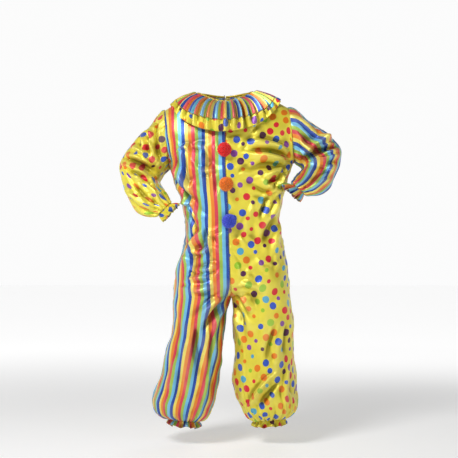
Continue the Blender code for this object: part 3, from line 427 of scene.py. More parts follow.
# What the folds' shade leaves of the red, green and blue in each cloth.
SHADOWS = {"striped": (0.50, 0.45, 0.44), "dotted": (0.50, 0.48, 0.20), "binding": (0.5, 0.4, 0.3)}
SATIN_FINISH = {"Metallic": 0.30, "Sheen Weight": 0.15, "Sheen Roughness": 0.35,
                "Specular IOR Level": 0.5, "Anisotropic": 0.4}
WEAVE_BACK_FINISH = {"Metallic": 0.0, "Sheen Weight": 0.1, "Sheen Roughness": 0.35,
                     "Specular IOR Level": 0.3, "Anisotropic": 0.0}
YARN_FINISH = {"Roughness": 0.85, "Sheen Weight": 0.35, "Sheen Roughness": 0.5}
FLOOR_FINISH = {"Base Color": (0.72, 0.72, 0.72, 1), "Roughness": 0.8, "Emission Color": (1, 1, 1, 1)}
# The colour of the painted highlight on the crests, and the paler back of the weave.
CREST_PAINTED_HIGHLIGHT, WEAVE_BACK = (0.95, 0.92, 0.55), (0.62, 0.58, 0.48)
# The stitches' thread, and the darker tone along each sewn edge and its width: partly wear, partly
# painted shade in the seam.
THREAD, EDGE_WEAR_AND_SHADE, EDGE_WEAR_AND_SHADE_WIDTH = (0.80, 0.66, 0.12), (0.6, 0.55, 0.5), 0.004
THREAD_COVER, WEAVE_BACK_COVER = 0.7, 0.35  # how much of the cloth's colour they take over
# Heights above the cloth's smoothed form, where its painted shade and its painted highlight start and
# are full.
PAINTED_SHADE_HEIGHTS, PAINTED_HIGHLIGHT_HEIGHTS = (0.0005, -0.0065), (0.001, 0.008)
# The most that the painted highlight on the crests lightens the colour.
PAINTED_HIGHLIGHT_MOST = 0.08
# The height and the strength of each bump.
SOFT_BUMP, TWILL_BUMP, STITCH_BUMP = (0.0016, 0.36), (0.00008, 0.22), (0.0004, 0.6)

Lamp = namedtuple("Lamp", "name place aim size")
LAMPS = (
    Lamp("key", (-1.8, -2.8, 1.8), (0, 0, -0.50), 1.4),
    Lamp("fill", (2.3, -2.8, 0.2), (0, 0, -0.70), 1.0),
    Lamp("back", (0.9, 3.2, 0.6), (0, 0, -0.60), 1.6),
)
FLOOR_REACH = 14.0
SENSOR_WIDTH = 36.0  # in millimetres


def smooth_step(t):
    """0 to 1 with level ends."""
    t = np.clip(t, 0, 1)
    return t * t * (3 - 2 * t)


def column(rows, name):
    """One named column of a table of rows."""
    return np.array([getattr(row, name) for row in rows])


def between_rows(values, at):
    """Values at fractional row numbers, by a cubic through each row with the neighbours' slope."""
    slope = np.gradient(values, axis=0)
    i = np.clip(np.floor(at).astype(int), 0, len(values) - 2)
    t = (at - i).reshape(at.shape + (1,) * (values.ndim - 1))
    a, b, da, db = values[i], values[i + 1], slope[i], slope[i + 1]
    return (
        a * (2 * t**3 - 3 * t**2 + 1)
        + da * (t**3 - 2 * t**2 + t)
        + b * (3 * t**2 - 2 * t**3)
        + db * (t**3 - t**2)
    )


def squared(value, power=FLATNESS):
    """A sine or cosine raised to a power with its sign kept, which squares an ellipse's corners."""
    value = np.where(np.abs(value) < 1e-12, 0, value)
    return np.sign(value) * np.abs(value) ** power


def across_lengths(points):
    """The distance along each row of a grid from its first column."""
    step = np.linalg.norm(np.diff(points, axis=1), axis=-1)
    return np.concatenate([np.zeros((len(points), 1)), np.cumsum(step, axis=1)], axis=1)


def down_lengths(points):
    """The distance down each column of a grid from its first row."""
    return across_lengths(points.swapaxes(0, 1)).swapaxes(0, 1)


def unit(vectors):
    """Vectors at length one."""
    return vectors / np.maximum(np.linalg.norm(vectors, axis=-1, keepdims=True), 1e-12)


def grid_normals(points, closed=False):
    """The unit normal at each point of a grid, from its neighbours across and down."""
    if closed:
        padded = np.concatenate([points[:, -1:], points, points[:, :1]], axis=1)
        across = np.gradient(padded, axis=1)[:, 1:-1]
    else:
        across = np.gradient(points, axis=1)
    return unit(np.cross(across, np.gradient(points, axis=0)))


def soft_noise(points, wavelength, seed, waves=16):
    """Seeded unevenness of about -1 to 1: a sum of plane waves in all directions. It depends on
    the place alone, so pieces that meet at a seam have the same height there."""
    rng = np.random.default_rng(seed)
    direction = unit(rng.normal(size=(waves, points.shape[-1])))
    direction *= 2 * math.pi / (wavelength * rng.uniform(0.7, 1.5, (waves, 1)))
    phase = rng.uniform(0, 2 * math.pi, waves)
    return np.cos(points @ direction.T + phase).sum(axis=-1) / math.sqrt(waves / 2)


def fold_height(points, folds):
    """How far folds lift the cloth, seen along Y. Across a fold the height is a cosine that dies
    out as a bell, so that a crest has a trough at each side; it widens from its first end to its
    second, bends aside as a parabola and fades out towards both ends."""
    height = np.zeros(points.shape[:-1])
    place = points[..., [0, 2]]
    for fold in folds:
        start = np.array([fold.x0, fold.z0])
        run = np.array([fold.x1, fold.z1]) - start
        length = np.linalg.norm(run)
        offset = place - start
        along = offset @ run / length**2
        beside = (offset[..., 0] * run[1] - offset[..., 1] * run[0]) / length
        beside = beside - fold.bow * length * 4 * along * (1 - along)
        s = beside / (fold.width * (0.65 + 0.7 * np.clip(along, 0, 1)))
        s = s * (1 + fold.lean * np.tanh(2 * s))
        ends = smooth_step(along / 0.35) * smooth_step((1 - along) / 0.45)
        height += fold.depth * np.cos(1.8 * s) * np.exp(-((s / 1.35) ** 2)) * ends
    return height


def scattered(crumples, seed):
    """Small folds with seeded places, directions and sizes, from the rows that say where they lie."""
    rng = np.random.default_rng(seed)
    folds = []
    for patch in crumples:
        for _ in range(patch.count):
            x, z = rng.uniform(patch.x0, patch.x1), rng.uniform(patch.z0, patch.z1)
            turn = math.radians(rng.normal(patch.turn, patch.spread))
            reach = patch.length * rng.uniform(0.5, 1.3) / 2
            dx, dz = reach * math.cos(turn), reach * math.sin(turn)
            folds.append(Fold(
                x - dx, z - dz, x + dx, z + dz, patch.width * rng.uniform(0.7, 1.5),
                patch.depth * rng.uniform(0.4, 1.4) * rng.choice([1, 1, -1]),
                rng.normal(0, 0.10), rng.uniform(-0.4, 0.4),
            ))
    return folds


def wrinkles(points):
    """Shallow unevenness all over the cloth: the sum of a long soft swell and a short one."""
    return sum(swell.depth * soft_noise(points, swell.wavelength, swell.seed) for swell in SWELLS)


def pucker(beside, along, seed, depth=PUCKER_DEPTH):
    """Ripples that a seam's stitching pulls up: none on the seam itself, most about a centimetre
    away from it, unevenly spaced along it."""
    near = beside / PUCKER_PLACE
    wander = soft_noise(np.stack([along, along * 0], axis=-1), 0.11, seed, waves=6)
    waves = np.cos(2 * math.pi * along / PUCKER_SPACING + 2.2 * wander)
    return depth * near * np.exp(1 - near) * waves * (1 + 0.5 * wander)


def seam_dip(beside):
    """The shallow groove where two edges are sewn together."""
    return -SEAM_DIP * np.exp(-((beside / SEAM_DIP_WIDTH) ** 2))


def gathers(round_, beside, gather, depth, seed):
    """Folds that an elastic pulls up: round crests and narrow valleys, as many of them near the
    elastic as there is cloth to take in, each dying out at a distance of its own."""
    wander = soft_noise(np.stack([round_, round_ * 0], axis=-1), 0.13, seed, waves=8)
    phase = 2 * math.pi * round_ / gather.spacing + 1.9 * wander
    crest = 1 - 1.6 * np.exp(-((np.mod(phase, 2 * math.pi) - math.pi) ** 2) / 1.1)
    uneven = soft_noise(np.stack([round_, round_ * 0], axis=-1), 0.05, seed + 1, waves=8)
    reach = gather.reach * (1 + 0.45 * uneven)
    fade = np.exp(-((beside / np.maximum(reach, gather.reach * 0.3)) ** 2))
    return depth * gather.share * crest * fade * smooth_step(beside / GATHER_RISE + 0.15)


def lower_points(half, side, u, station):
    """The cloth below the armpit: part of an oval that ends at the side seam. It starts at the
    middle of the front where closed is 0, further round as it grows, and at the inside seam at 1."""
    at = {name: between_rows(column(half.sections, name), station) for name in Section._fields}
    closed = np.clip(at["closed"], 0, 1)
    depth = at["front"] if side == FRONT else at["back"]
    reach = at["outer_x"] - at["inner_x"]
    first = np.arccos(closed ** (1 / FLATNESS))
    angle = first + (math.pi - first) * u
    share = (closed - squared(np.cos(angle))) / (1 + closed)
    x = at["inner_x"] + reach * share
    y = side * depth * squared(np.sin(angle))
    z = at["inner_z"] + (at["outer_z"] - at["inner_z"]) * share
    return np.stack([x, y, z], axis=-1)


def yoke_points(half, side, u, way):
    """The cloth over the shoulder: way runs from 0 on the ridge line to 1 at the armpit's section.
    It goes forward and down as a quarter oval, and at the side follows the sleeve's first ring."""
    top = half.sections[0]
    depth = top.front if side == FRONT else top.back
    across = squared(np.sin(u * math.pi / 2))
    ridge_x = NECK_X + (half.shoulder_x - NECK_X) * across
    fall = (RIDGE_TOP_Z - half.shoulder_z) / half.shoulder_x**2
    ridge_z = RIDGE_TOP_Z - fall * ridge_x**2
    chest_x = top.inner_x + (top.outer_x - top.inner_x) * across
    chest_z = top.inner_z + (top.outer_z - top.inner_z) * across
    near_armhole = u**3
    ring_down = (1 - squared(np.cos(way * math.pi))) / 2
    down = 1 - np.cos(way * math.pi / 2)
    down = down + near_armhole * (ring_down - down)
    out = np.sin(way * math.pi / 2) ** CHEST_FULLNESS[side]
    x = ridge_x + (chest_x - ridge_x) * (way + near_armhole * (ring_down - way))
    y = side * depth * squared(np.cos(u * math.pi / 2)) * out
    y = y + side * ARMHOLE_DEPTH * near_armhole * squared(np.sin(way * math.pi))
    z = ridge_z + (chest_z - ridge_z) * down
    return np.stack([x, y, z], axis=-1)


def ring_normals(outer, inner, depth, angle):
    """The outward normals of an oval ring, in its own plane."""
    along = np.array([outer[0] - inner[0], 0, outer[1] - inner[1]])
    length = np.linalg.norm(along) / 2
    ahead = squared(np.cos(angle), 2 - FLATNESS) / length
    forward = squared(np.sin(angle), 2 - FLATNESS) / depth
    return unit(ahead[..., None] * along / (2 * length) + forward[..., None] * np.array([0, -1, 0]))


def neckline_way(half, side, u):
    """How far down each column the neckline's oval cuts the cloth: 0 where it misses it."""
    ways = np.linspace(0, NECK_SEARCH, NECK_STEPS + 1)
    p = yoke_points(half, side, u[:, None], ways[None, :])
    across = (p[..., 0] - NECK_X) / NECK_HALF_WIDTH
    along = (p[..., 1] - NECK_Y) / NECK_DEPTH[side]
    outside = across**2 + along**2 - 1
    k = np.maximum(np.argmax(outside > 0, axis=1), 1)
    low = np.take_along_axis(outside, k[:, None] - 1, axis=1)[:, 0]
    high = np.take_along_axis(outside, k[:, None], axis=1)[:, 0]
    share = -low / np.where(high - low == 0, 1, high - low)
    return np.where(outside[:, 0] < -1e-9, ways[k - 1] + (ways[k] - ways[k - 1]) * share, 0)


def panel_columns(half, count):
    """Places across a panel, one of them where the neckline's end meets the ridge line."""
    end = NECK_X + math.copysign(NECK_HALF_WIDTH, half.sign)
    share = (end - NECK_X) / (half.shoulder_x - NECK_X)
    neck_u = math.asin(share ** (1 / FLATNESS)) * 2 / math.pi
    inside = round(count * neck_u)
    return np.concatenate([
        np.linspace(0, neck_u, inside + 1)[:-1],
        np.linspace(neck_u, 1, count - inside + 1),
    ])


def panel_stations():
    """Row numbers down a panel: -1 to 0 is the yoke, and then the section numbers. The leg's rows
    close up towards the elastic, where the cloth turns under."""
    turned = np.linspace(0, 1, LEG_ROWS + 1) ** LEG_CROWDING
    return np.concatenate([
        np.linspace(-1, 0, YOKE_ROWS + 1)[:-1],
        np.linspace(0, TORSO_END, TORSO_ROWS + 1)[:-1],
        np.linspace(TORSO_END, CROTCH_END, CROTCH_ROWS + 1)[:-1],
        CROTCH_END + (LAST - CROTCH_END) * turned,
    ])


def seam_normals(half, side, points, normals, stations):
    """Turns the normals on the seams into the seam's own plane, so that both pieces' edges match."""
    normals = normals.copy()
    along = np.gradient(points, axis=0)
    middle = (stations > -1) & (stations <= CROTCH_END)
    normals[middle, 0] = np.cross((side, 0, 0), along[middle, 0])
    inseam = stations > CROTCH_END
    normals[inseam, 0] = np.cross((0, half.sign, 0), along[inseam, 0])
    below = stations >= 0
    normals[below, -1] = np.cross((0, -half.sign, 0), along[below, -1])
    normals[np.abs(stations - CROTCH_END) < 1e-9, 0] = (0, 0, -1)
    normals[0, np.abs(points[0, :, 1]) < 1e-6, 1] = 0
    shoulder, armpit = (half.shoulder_x, half.shoulder_z), half.sections[0][:2]
    ring = ring_normals(shoulder, armpit, ARMHOLE_DEPTH, (stations[~below] + 1) * math.pi)
    normals[~below, -1] = ring * (1, -side, 1)
    return unit(normals)


def panel_base(half, side, u, stations):
    """A panel's smooth cloth and its outward normals, before any fold."""
    above = stations < 0
    cut = neckline_way(half, side, u)[None, :]
    yoke = yoke_points(half, side, u[None, :], cut + (1 - cut) * (stations[above, None] + 1))
    lower = lower_points(half, side, u[None, :], stations[~above, None])
    points = np.concatenate([yoke, lower])
    normals = grid_normals(points) * (half.sign * side)
    return points, seam_normals(half, side, points, normals, stations)


def panel_uv(points, u, stations, side):
    """Places on the flat cloth, in metres. Steps down are measured square to the rows, and over the
    shoulder in planes of constant X, so that the print isn't sheared. Stripes run parallel to the
    middle seam and then straight down to the crotch; from there they keep their distance from the
    leg's middle, and they draw together only where the leg turns in to its elastic."""
    across = across_lengths(points)
    armpit, hips, crotch, turn = (
        int(np.argmin(np.abs(stations - s))) for s in (0, TORSO_END, CROTCH_END, LEG_TURN))
    flat = across.copy()
    flat[hips:] = across[hips, -1] - (across[hips:, -1:] - across[hips:])
    crest = np.array([np.interp(0.5, u, row) for row in flat[hips:]])
    crest_x = np.abs([np.interp(0.5, u, row) for row in points[hips:, :, 0]])
    held = crest[0] + crest_x - crest_x[0]
    held[crotch - hips:] = held[crotch - hips]
    full = 1 + LEG_FULLNESS * smooth_step((stations[hips:] - TORSO_END) / (LEG_TURN - TORSO_END))
    flat[hips:] = held[:, None] + (flat[hips:] - crest[:, None]) * full[:, None]
    flat[turn:] = flat[turn]
    rise = smooth_step(-stations[:armpit, None])
    level = np.abs(points[:armpit, :, 0] - points[:armpit, :1, 0])
    flat[:armpit] = flat[armpit] + rise * (level - flat[armpit])
    step = np.diff(points, axis=0)
    along = unit(np.gradient(points, axis=1))[:-1]
    square = step - (step * along).sum(axis=-1, keepdims=True) * along
    square[:armpit] = step[:armpit] * (0, 1, 1)
    down = np.concatenate([np.zeros_like(flat[:1]), np.cumsum(np.linalg.norm(square, axis=-1), 0)])
    return np.stack([flat, down - down[armpit] + BACK_CUT * (side == BACK)], axis=-1)


def nearest_edge(*edges):
    """(distance from the nearest sewn edge, place along it) from pairs of such arrays."""
    away = np.stack([np.broadcast_arrays(*edge)[0] for edge in edges])
    along = np.stack([np.broadcast_arrays(*edge)[1] for edge in edges])
    first = away.argmin(axis=0)[None]
    return np.stack([np.take_along_axis(part, first, 0)[0] for part in (away, along)], axis=-1)


def panel_grid(half, side, columns, cloth):
    """(outer points, normals, uv, edges) of a front or back panel with its folds and gathers."""
    u, stations = panel_columns(half, columns), panel_stations()
    points, normals = panel_base(half, side, u, stations)
    across = across_lengths(points)
    uv = panel_uv(points, u, stations, side)
    to_side = across[:, -1:] - across
    down = down_lengths(points)
    to_elastic = down[-1:] - down
    station = stations[:, None]
    placed, crumples = (
        (FRONT_FOLDS, FRONT_CRUMPLES) if side == FRONT else (BACK_FOLDS, BACK_CRUMPLES))
    folds = (*placed, *scattered(crumples, FOLD_SEED + side))
    below_neck = smooth_step((station + 1) / NECK_FADE)
    free_side = smooth_step(to_side / SIDE_FADE)
    leg = smooth_step((station - TORSO_END) / (CROTCH_END - TORSO_END))
    middle = MIDDLE_KEPT + (1 - MIDDLE_KEPT) * smooth_step(across / MIDDLE_FADE)
    free_middle = middle * (1 - leg) + leg * smooth_step(across / INSEAM_FADE)
    height = fold_height(points, folds) * free_side * free_middle * FOLD_BOOST * cloth.fold_depth
    height += wrinkles(points)
    height *= smooth_step(to_elastic / ELASTIC_FADE)
    height += gathers(uv[..., 0], to_elastic, LEG_GATHER, cloth.gather_depth, GATHER_SEED + side)
    height += seam_dip(across) + seam_dip(to_side)
    sewn = 1 - (1 - PUCKER_ON_LEG) * leg
    height += pucker(across, points[..., 2], MIDDLE_SEED) * sewn
    height += pucker(to_side, points[..., 2], SIDE_SEED) * sewn
    outer = points + normals * (height * below_neck)[..., None]
    edges = nearest_edge((across, uv[..., 1]), (to_side, uv[..., 1]), (to_elastic, uv[..., 0]))
    return outer + np.array([half.sign, side, 0]) * SEAM_GAP / 2, normals, uv, edges


def ring_points(ring, angle):
    """A ring round a sleeve or frill: the angle runs from the outer point by the front to the inner."""
    share = (1 - squared(np.cos(angle))) / 2
    x = ring["outer_x"] + (ring["inner_x"] - ring["outer_x"]) * share
    z = ring["outer_z"] + (ring["inner_z"] - ring["outer_z"]) * share
    y = ring["y"] - ring["depth"] * squared(np.sin(angle))
    return np.stack([x, y, z], axis=-1)


def outward(points, normals):
    """Normals turned to point away from each ring's middle."""
    away = points - points.mean(axis=1, keepdims=True)
    return normals * np.sign((normals * away).sum(axis=-1, keepdims=True))


def sleeve_grid(rings, folds, crumples, seed, cloth):
    """(outer points, normals, uv, edges) of a sleeve: ovals from ring to ring, whose seam is
    underneath. The cloth is as wide at the wrist as at the top and gathered into the elastic. The
    placed folds lie in front, and behind they are shallower and bend the other way."""
    angle = math.pi + np.arange(SLEEVE_COLUMNS) * 2 * math.pi / SLEEVE_COLUMNS
    last = len(rings) - 1
    at = last * np.linspace(0, 1, SLEEVE_ROWS + 1) ** SLEEVE_CROWDING
    ring = {key: between_rows(column(rings, key), at)[:, None] for key in Ring._fields}
    points = ring_points(ring, angle[None, :])
    normals = outward(points, grid_normals(points, closed=True))
    first = rings[0]
    normals[0] = ring_normals(first[:2], first[2:4], first.depth, angle)
    closed = np.concatenate([points, points[:, :1]], axis=1)
    upper_arm = closed[SLEEVE_ROWS // 4][None]
    round_ = np.repeat(across_lengths(upper_arm), len(at), axis=0)
    under = np.minimum(round_, round_[:, -1:] - round_)
    down = down_lengths(closed)
    middle = points.mean(axis=1)
    slant = (closed[0] - middle[0]) @ unit(middle[SLEEVE_ROWS // 5] - middle[0])
    uv = np.stack([round_ * (1 + SLEEVE_FULLNESS), down + slant], axis=-1)
    to_elastic = (down[-1:] - down)[:, :-1]
    from_armhole = down[:, :-1]
    facing = -normals[..., 1]
    front = fold_height(points, (*folds, *scattered(crumples, seed)))
    behind = [fold._replace(bow=-fold.bow, depth=fold.depth * BACK_FOLD_SHARE) for fold in folds]
    back = fold_height(points, (*behind, *scattered(crumples, seed + SLEEVE_BACK_SEED)))
    height = front * smooth_step(facing * 1.6) + back * smooth_step(-facing * 1.6)
    height *= smooth_step(from_armhole / ARMHOLE_FADE) * smooth_step(to_elastic / ELASTIC_FADE)
    height *= FOLD_BOOST * cloth.fold_depth
    height += wrinkles(points)
    height *= smooth_step(to_elastic / ELASTIC_FADE)
    height += gathers(round_[:, :-1], to_elastic, SLEEVE_GATHER, cloth.gather_depth, seed)
    height += pucker(from_armhole, round_[:, :-1], seed + SLEEVE_SEAM_SEED, PUCKER_DEPTH_ARMHOLE)
    height += seam_dip(from_armhole)
    height += seam_dip(under[:, :-1]) * smooth_step(from_armhole / UNDERARM_FADE)
    outer = points + normals * height[..., None]
    outer[..., 0] += math.copysign(ARMHOLE_GAP, first.outer_x)
    edges = nearest_edge((under, down), (down, round_), (down[-1:] - down, round_))
    return outer, normals, uv, edges


def frill_grid(frill, first, away, seed):
    """(outer points, normals, uv, edges) of a frill: rings from the elastic outwards, whose waves
    grow towards the edge and are uneven in spacing and depth."""
    columns = frill.waves * FRILL_COLUMNS_PER_WAVE
    angle = math.pi + np.arange(columns) * 2 * math.pi / columns
    way = np.linspace(0, 1, FRILL_ROWS + 1)[:, None]
    ring = {key: first[key] + (getattr(frill, key) - first[key]) * way for key in Ring._fields}
    points = ring_points(ring, angle[None, :]) + np.array(away)
    normals = outward(points, grid_normals(points, closed=True))
    turn = np.stack([np.cos(angle), np.sin(angle)], axis=-1)
    wander = soft_noise(turn, 1.6, seed, waves=6)
    waves = np.cos(frill.waves * angle + 0.9 * wander) * (1 + 0.3 * soft_noise(turn, 1.1, seed + 1, 6))
    small = 0.25 * np.cos(frill.waves * 2.0 * angle + 1.7 * wander + 3 * way)
    height = (waves[None, :] + small) * frill.wave_depth * (0.18 + 0.95 * smooth_step(way * 1.1))
    height *= smooth_step(way * 6 + 0.05)
    outer = points + normals * height[..., None]
    closed = np.concatenate([outer, outer[:, :1]], axis=1)
    edge = across_lengths(closed[-1:])
    round_, down = np.repeat(edge, FRILL_ROWS + 1, axis=0), down_lengths(closed)
    edges = nearest_edge((down, round_), (down[-1:] - down, round_))
    return outer, normals, np.stack([round_, down], axis=-1), edges


def neckline_points(angle):
    """The neckline's oval, at the height that the panels' cloth has there. The angle is 0 at the
    middle of the front and grows towards +X."""
    u = np.linspace(0, 1, 200)
    known, heights = [], []
    for half in (STRIPED, DOTTED):
        for side in (FRONT, BACK):
            cut = neckline_way(half, side, u)
            p = yoke_points(half, side, u, cut)[cut > 0]
            known.append(np.arctan2((p[:, 0] - NECK_X) / NECK_HALF_WIDTH,
                                    -(p[:, 1] - NECK_Y) / NECK_DEPTH[side]))
            heights.append(p[:, 2])
    known, heights = np.concatenate(known), np.concatenate(heights)
    order = np.argsort(known)
    depth = np.where(np.cos(angle) > 0, NECK_DEPTH[FRONT], NECK_DEPTH[BACK])
    x = NECK_X + NECK_HALF_WIDTH * np.sin(angle)
    y = NECK_Y - depth * np.cos(angle)
    z = np.interp(angle, known[order], heights[order], period=2 * math.pi)
    return np.stack([x, y, z], axis=-1)


def collar_base(angle, way):
    """The collar without its pleats, hanging free: way runs from 0 at the neckline to 1 at the edge.
    It is straight over the shoulders, and at the front and back goes outwards first and then falls."""
    start = neckline_points(angle)
    facing = np.cos(angle)
    reach = np.where(facing > 0, COLLAR_REACH[FRONT], COLLAR_REACH[BACK])
    front, back = np.maximum(facing, 0) ** 1.3, np.maximum(-facing, 0) ** 1.3
    side_z = COLLAR_EDGE_Z["side"]
    edge_x = COLLAR_X + COLLAR_HALF_WIDTH * np.sin(angle)
    edge_z = side_z + (COLLAR_EDGE_Z["front"] - side_z) * front + (COLLAR_EDGE_Z["back"] - side_z) * back
    edge_z = edge_z + COLLAR_TILT * edge_x
    roundness = np.abs(facing)
    along = way + (np.sin(way * math.pi / 2) ** 0.9 - way) * roundness
    down = way + (1 - np.cos(way * math.pi / 2) - way) * roundness
    x = start[..., 0] + (edge_x - start[..., 0]) * along
    y = start[..., 1] + (-reach * facing - start[..., 1]) * along
    puff = COLLAR_PUFF * (1 - 0.7 * np.maximum(facing, 0))
    z = start[..., 2] + (edge_z - start[..., 2]) * down + puff * np.sin(way * math.pi)
    tuck = BINDING_RADIUS + BINDING_LIFT * (1 - smooth_step(way / 0.12))
    return np.stack([x, y, z + tuck], axis=-1)


def yoke_samples(count=40):
    """Points and outward normals spread over the panels' cloth round the shoulders."""
    u, way = np.linspace(0, 1, count)[None, :], np.linspace(0, 1, count)[:, None]
    points, normals = [], []
    for half in (STRIPED, DOTTED):
        for side in (FRONT, BACK):
            p = yoke_points(half, side, u, way)
            points.append(p.reshape(-1, 3))
            normals.append((grid_normals(p) * (half.sign * side)).reshape(-1, 3))
    return np.concatenate(points), np.concatenate(normals)


def lifted(points, clearance):
    """Points pushed out of the panels' cloth, along the nearest sample's normal, until they stand
    this far from it."""
    samples, normals = yoke_samples()
    flat = points.reshape(-1, 3)
    distance = (flat**2).sum(1)[:, None] - 2 * flat @ samples.T + (samples**2).sum(1)[None, :]
    nearest = distance.argmin(axis=1)
    height = ((flat - samples[nearest]) * normals[nearest]).sum(axis=1)
    push = np.maximum(0, clearance.reshape(-1) - height)[:, None] * normals[nearest]
    return (flat + push).reshape(points.shape)


def pleat_depth(angle, reach):
    """The pleats' depth: least at the neckline and over the shoulders, most at the front's edge."""
    facing = np.abs(np.cos(angle))
    edge = PLEAT_DEPTH_SHOULDER + (PLEAT_DEPTH_EDGE - PLEAT_DEPTH_SHOULDER) * facing
    depth = PLEAT_DEPTH_NECK + (edge - PLEAT_DEPTH_NECK) * reach**0.7
    return depth * smooth_step((reach - COLLAR_START) / 0.08 + 0.12)


def collar_grid(angle, way):
    """The collar's points: a coarse smooth surface that clears the shoulders, resampled finely,
    with gathered pleats that deepen and spread towards the edge."""
    coarse_way = np.linspace(0, 1, COARSE_ROWS + 1)[:, None]
    coarse_angle = np.linspace(angle[0], angle[-1], COARSE_COLUMNS + 1)[None, :]
    reach = COLLAR_START + (1 - COLLAR_START) * coarse_way
    clearance = pleat_depth(coarse_angle, reach) * 1.15 + COLLAR_CLEARANCE
    base = lifted(collar_base(coarse_angle, reach), clearance)
    rows = between_rows(base, way * COARSE_ROWS)
    columns = (angle - angle[0]) / (angle[-1] - angle[0]) * COARSE_COLUMNS
    fine = between_rows(rows.swapaxes(0, 1), columns).swapaxes(0, 1)
    normals = grid_normals(fine)
    normals *= np.sign(normals[..., 2:])
    reach = (COLLAR_START + (1 - COLLAR_START) * way)[:, None]
    turn = np.stack([np.cos(angle), np.sin(angle)], axis=-1)
    wander = soft_noise(turn, 0.9, PLEAT_SEED, waves=8)
    swell = 1 + 0.20 * soft_noise(turn, 0.4, PLEAT_SWELL_SEED, waves=8)
    phase = PLEATS * angle + 1.3 * wander
    sharp = np.arcsin(0.9 * np.cos(phase)) / math.asin(0.9)
    band = smooth_step((way - BAND_START + 0.06) / 0.3)[:, None]
    ruffled = 0.42 * sharp + 0.75 * np.cos(phase * 0.5 + 0.9 * wander) * swell
    pleats = sharp * swell * (1 - band) + ruffled * band
    return fine + normals * (pleat_depth(angle[None, :], reach) * pleats)[..., None], normals


def tube_grid(path, radius, sides):
    """A round cord along a path of points: a circle in the plane square to the path, kept level."""
    ahead = unit(np.gradient(path, axis=0))
    beside = unit(np.cross(ahead, (0, 0, 1)))
    above = np.cross(beside, ahead)
    angle = np.linspace(0, 2 * math.pi, sides, endpoint=False)
    ring = (np.cos(angle)[None, :, None] * beside[:, None]
            + np.sin(angle)[None, :, None] * above[:, None])
    return path[:, None] + ring * radius[:, None, None]


def grid_quads(index):
    """The quads of a grid of vertex numbers."""
    return np.stack([index[:-1, :-1], index[:-1, 1:], index[1:, 1:], index[1:, :-1]], -1).reshape(-1, 4)


def rim_quads(index, count, closed):
    """The quads that join the outer and inner sheets along the grid's open edges."""
    edges = [index[0], index[-1, ::-1]]
    if not closed:
        edges += [index[::-1, 0], index[:, -1]]
    return np.concatenate([
        np.stack([e[1:], e[:-1], e[:-1] + count, e[1:] + count], axis=-1) for e in edges
    ])


def mesh_of(name, points, faces, layers, slots, materials):
    """A mesh from whole arrays: points, quads, UV layers by name, and each quad's material slot."""
    mesh = bpy.data.meshes.new(name)
    mesh.vertices.add(len(points))
    mesh.vertices.foreach_set("co", points.astype(np.float32).ravel())
    mesh.loops.add(faces.size)
    mesh.loops.foreach_set("vertex_index", faces.astype(np.int32).ravel())
    mesh.polygons.add(len(faces))
    mesh.polygons.foreach_set("loop_start", np.arange(0, faces.size, 4, dtype=np.int32))
    mesh.update(calc_edges=True)
    for layer, uv in layers.items():
        mesh.uv_layers.new(name=layer).uv.foreach_set("vector", uv.astype(np.float32).ravel())
    for material in materials:
        mesh.materials.append(material)
    mesh.polygons.foreach_set("material_index", slots.astype(np.int32))
    mesh.shade_smooth()
    mesh.validate()
    piece = bpy.data.objects.new(name, mesh)
    bpy.context.scene.collection.objects.link(piece)
    return piece


def relief(points, normals, closed, rounds=60):
    """How far each point stands out from the cloth's own smoothed form, where a round of smoothing
    gives each point half of itself and a quarter of each neighbour, down and then across."""
    smooth = points
    for _ in range(rounds):
        padded = np.pad(smooth, ((1, 1), (0, 0), (0, 0)), mode="edge")
        smooth = (padded[:-2] + 2 * smooth + padded[2:]) / 4
        padded = np.pad(smooth, ((0, 0), (1, 1), (0, 0)), mode="wrap" if closed else "edge")
        smooth = (padded[:, :-2] + 2 * smooth + padded[:, 2:]) / 4
    return ((points - smooth) * normals).sum(axis=-1)


def cloth_piece(name, grid, wall, materials, closed=False):
    """A closed thin sheet: the grid as its outer face, the grid moved in by the wall as its inner
    face, and a rim between them. Its quads are turned to face along the normals. The inner quads
    start at the same corner as the outer ones, so that both are split along the same diagonal."""
    outer, normals, uv, edges = grid
    # The relief tells the material where to paint shade in the folds and a highlight on the crests.
    high = relief(outer, normals, closed)
    if closed:
        high = np.concatenate([high, high[:, :1]], axis=1)
    high = np.stack([high, high * 0], axis=-1)
    rows, columns = outer.shape[:2]
    count = rows * columns
    index = np.arange(count).reshape(rows, columns)
    if closed:
        index = np.concatenate([index, index[:, :1]], axis=1)
    place = np.arange(index.size).reshape(index.shape)
    outside, outside_uv = grid_quads(index), grid_quads(place)
    rim, rim_uv = rim_quads(index, count, closed), rim_quads(place, 0, closed)
    turned = [0, 3, 2, 1]
    faces = np.concatenate([outside, outside[:, turned] + count, rim])
    corners = np.concatenate([outside_uv, outside_uv[:, turned], rim_uv])
    flat, flat_normals = outer.reshape(-1, 3), normals.reshape(-1, 3)
    a, b, d = flat[outside[:, 0]], flat[outside[:, 1]], flat[outside[:, 3]]
    if (np.cross(b - a, d - a) * flat_normals[outside[:, 0]]).sum() < 0:
        faces, corners = faces[:, ::-1], corners[:, ::-1]
    points = np.concatenate([flat, flat - flat_normals * wall])
    slots = np.zeros(len(faces))
    slots[len(outside):2 * len(outside)] = 1
    layers = {"cloth": uv, "edge": edges, "relief": high}
    layers = {layer: values.reshape(-1, 2)[corners] for layer, values in layers.items()}
    return mesh_of(name, points, faces, layers, slots, materials)


def declare(piece, node):
    """Hangs a cloth piece on its body and hides the model's part for the node that it stands for."""
    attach(piece, BODY)
    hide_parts(node)


def add_node(tree, kind, inputs=None, **settings):
    """A shader node with its settings, each input set to a value or joined to a socket."""
    node = tree.nodes.new(kind)
    for name, value in settings.items():
        setattr(node, name, value)
    for name, value in (inputs or {}).items():
        if isinstance(value, bpy.types.NodeSocket):
            tree.links.new(value, node.inputs[name])
        else:
            node.inputs[name].default_value = value
    return node


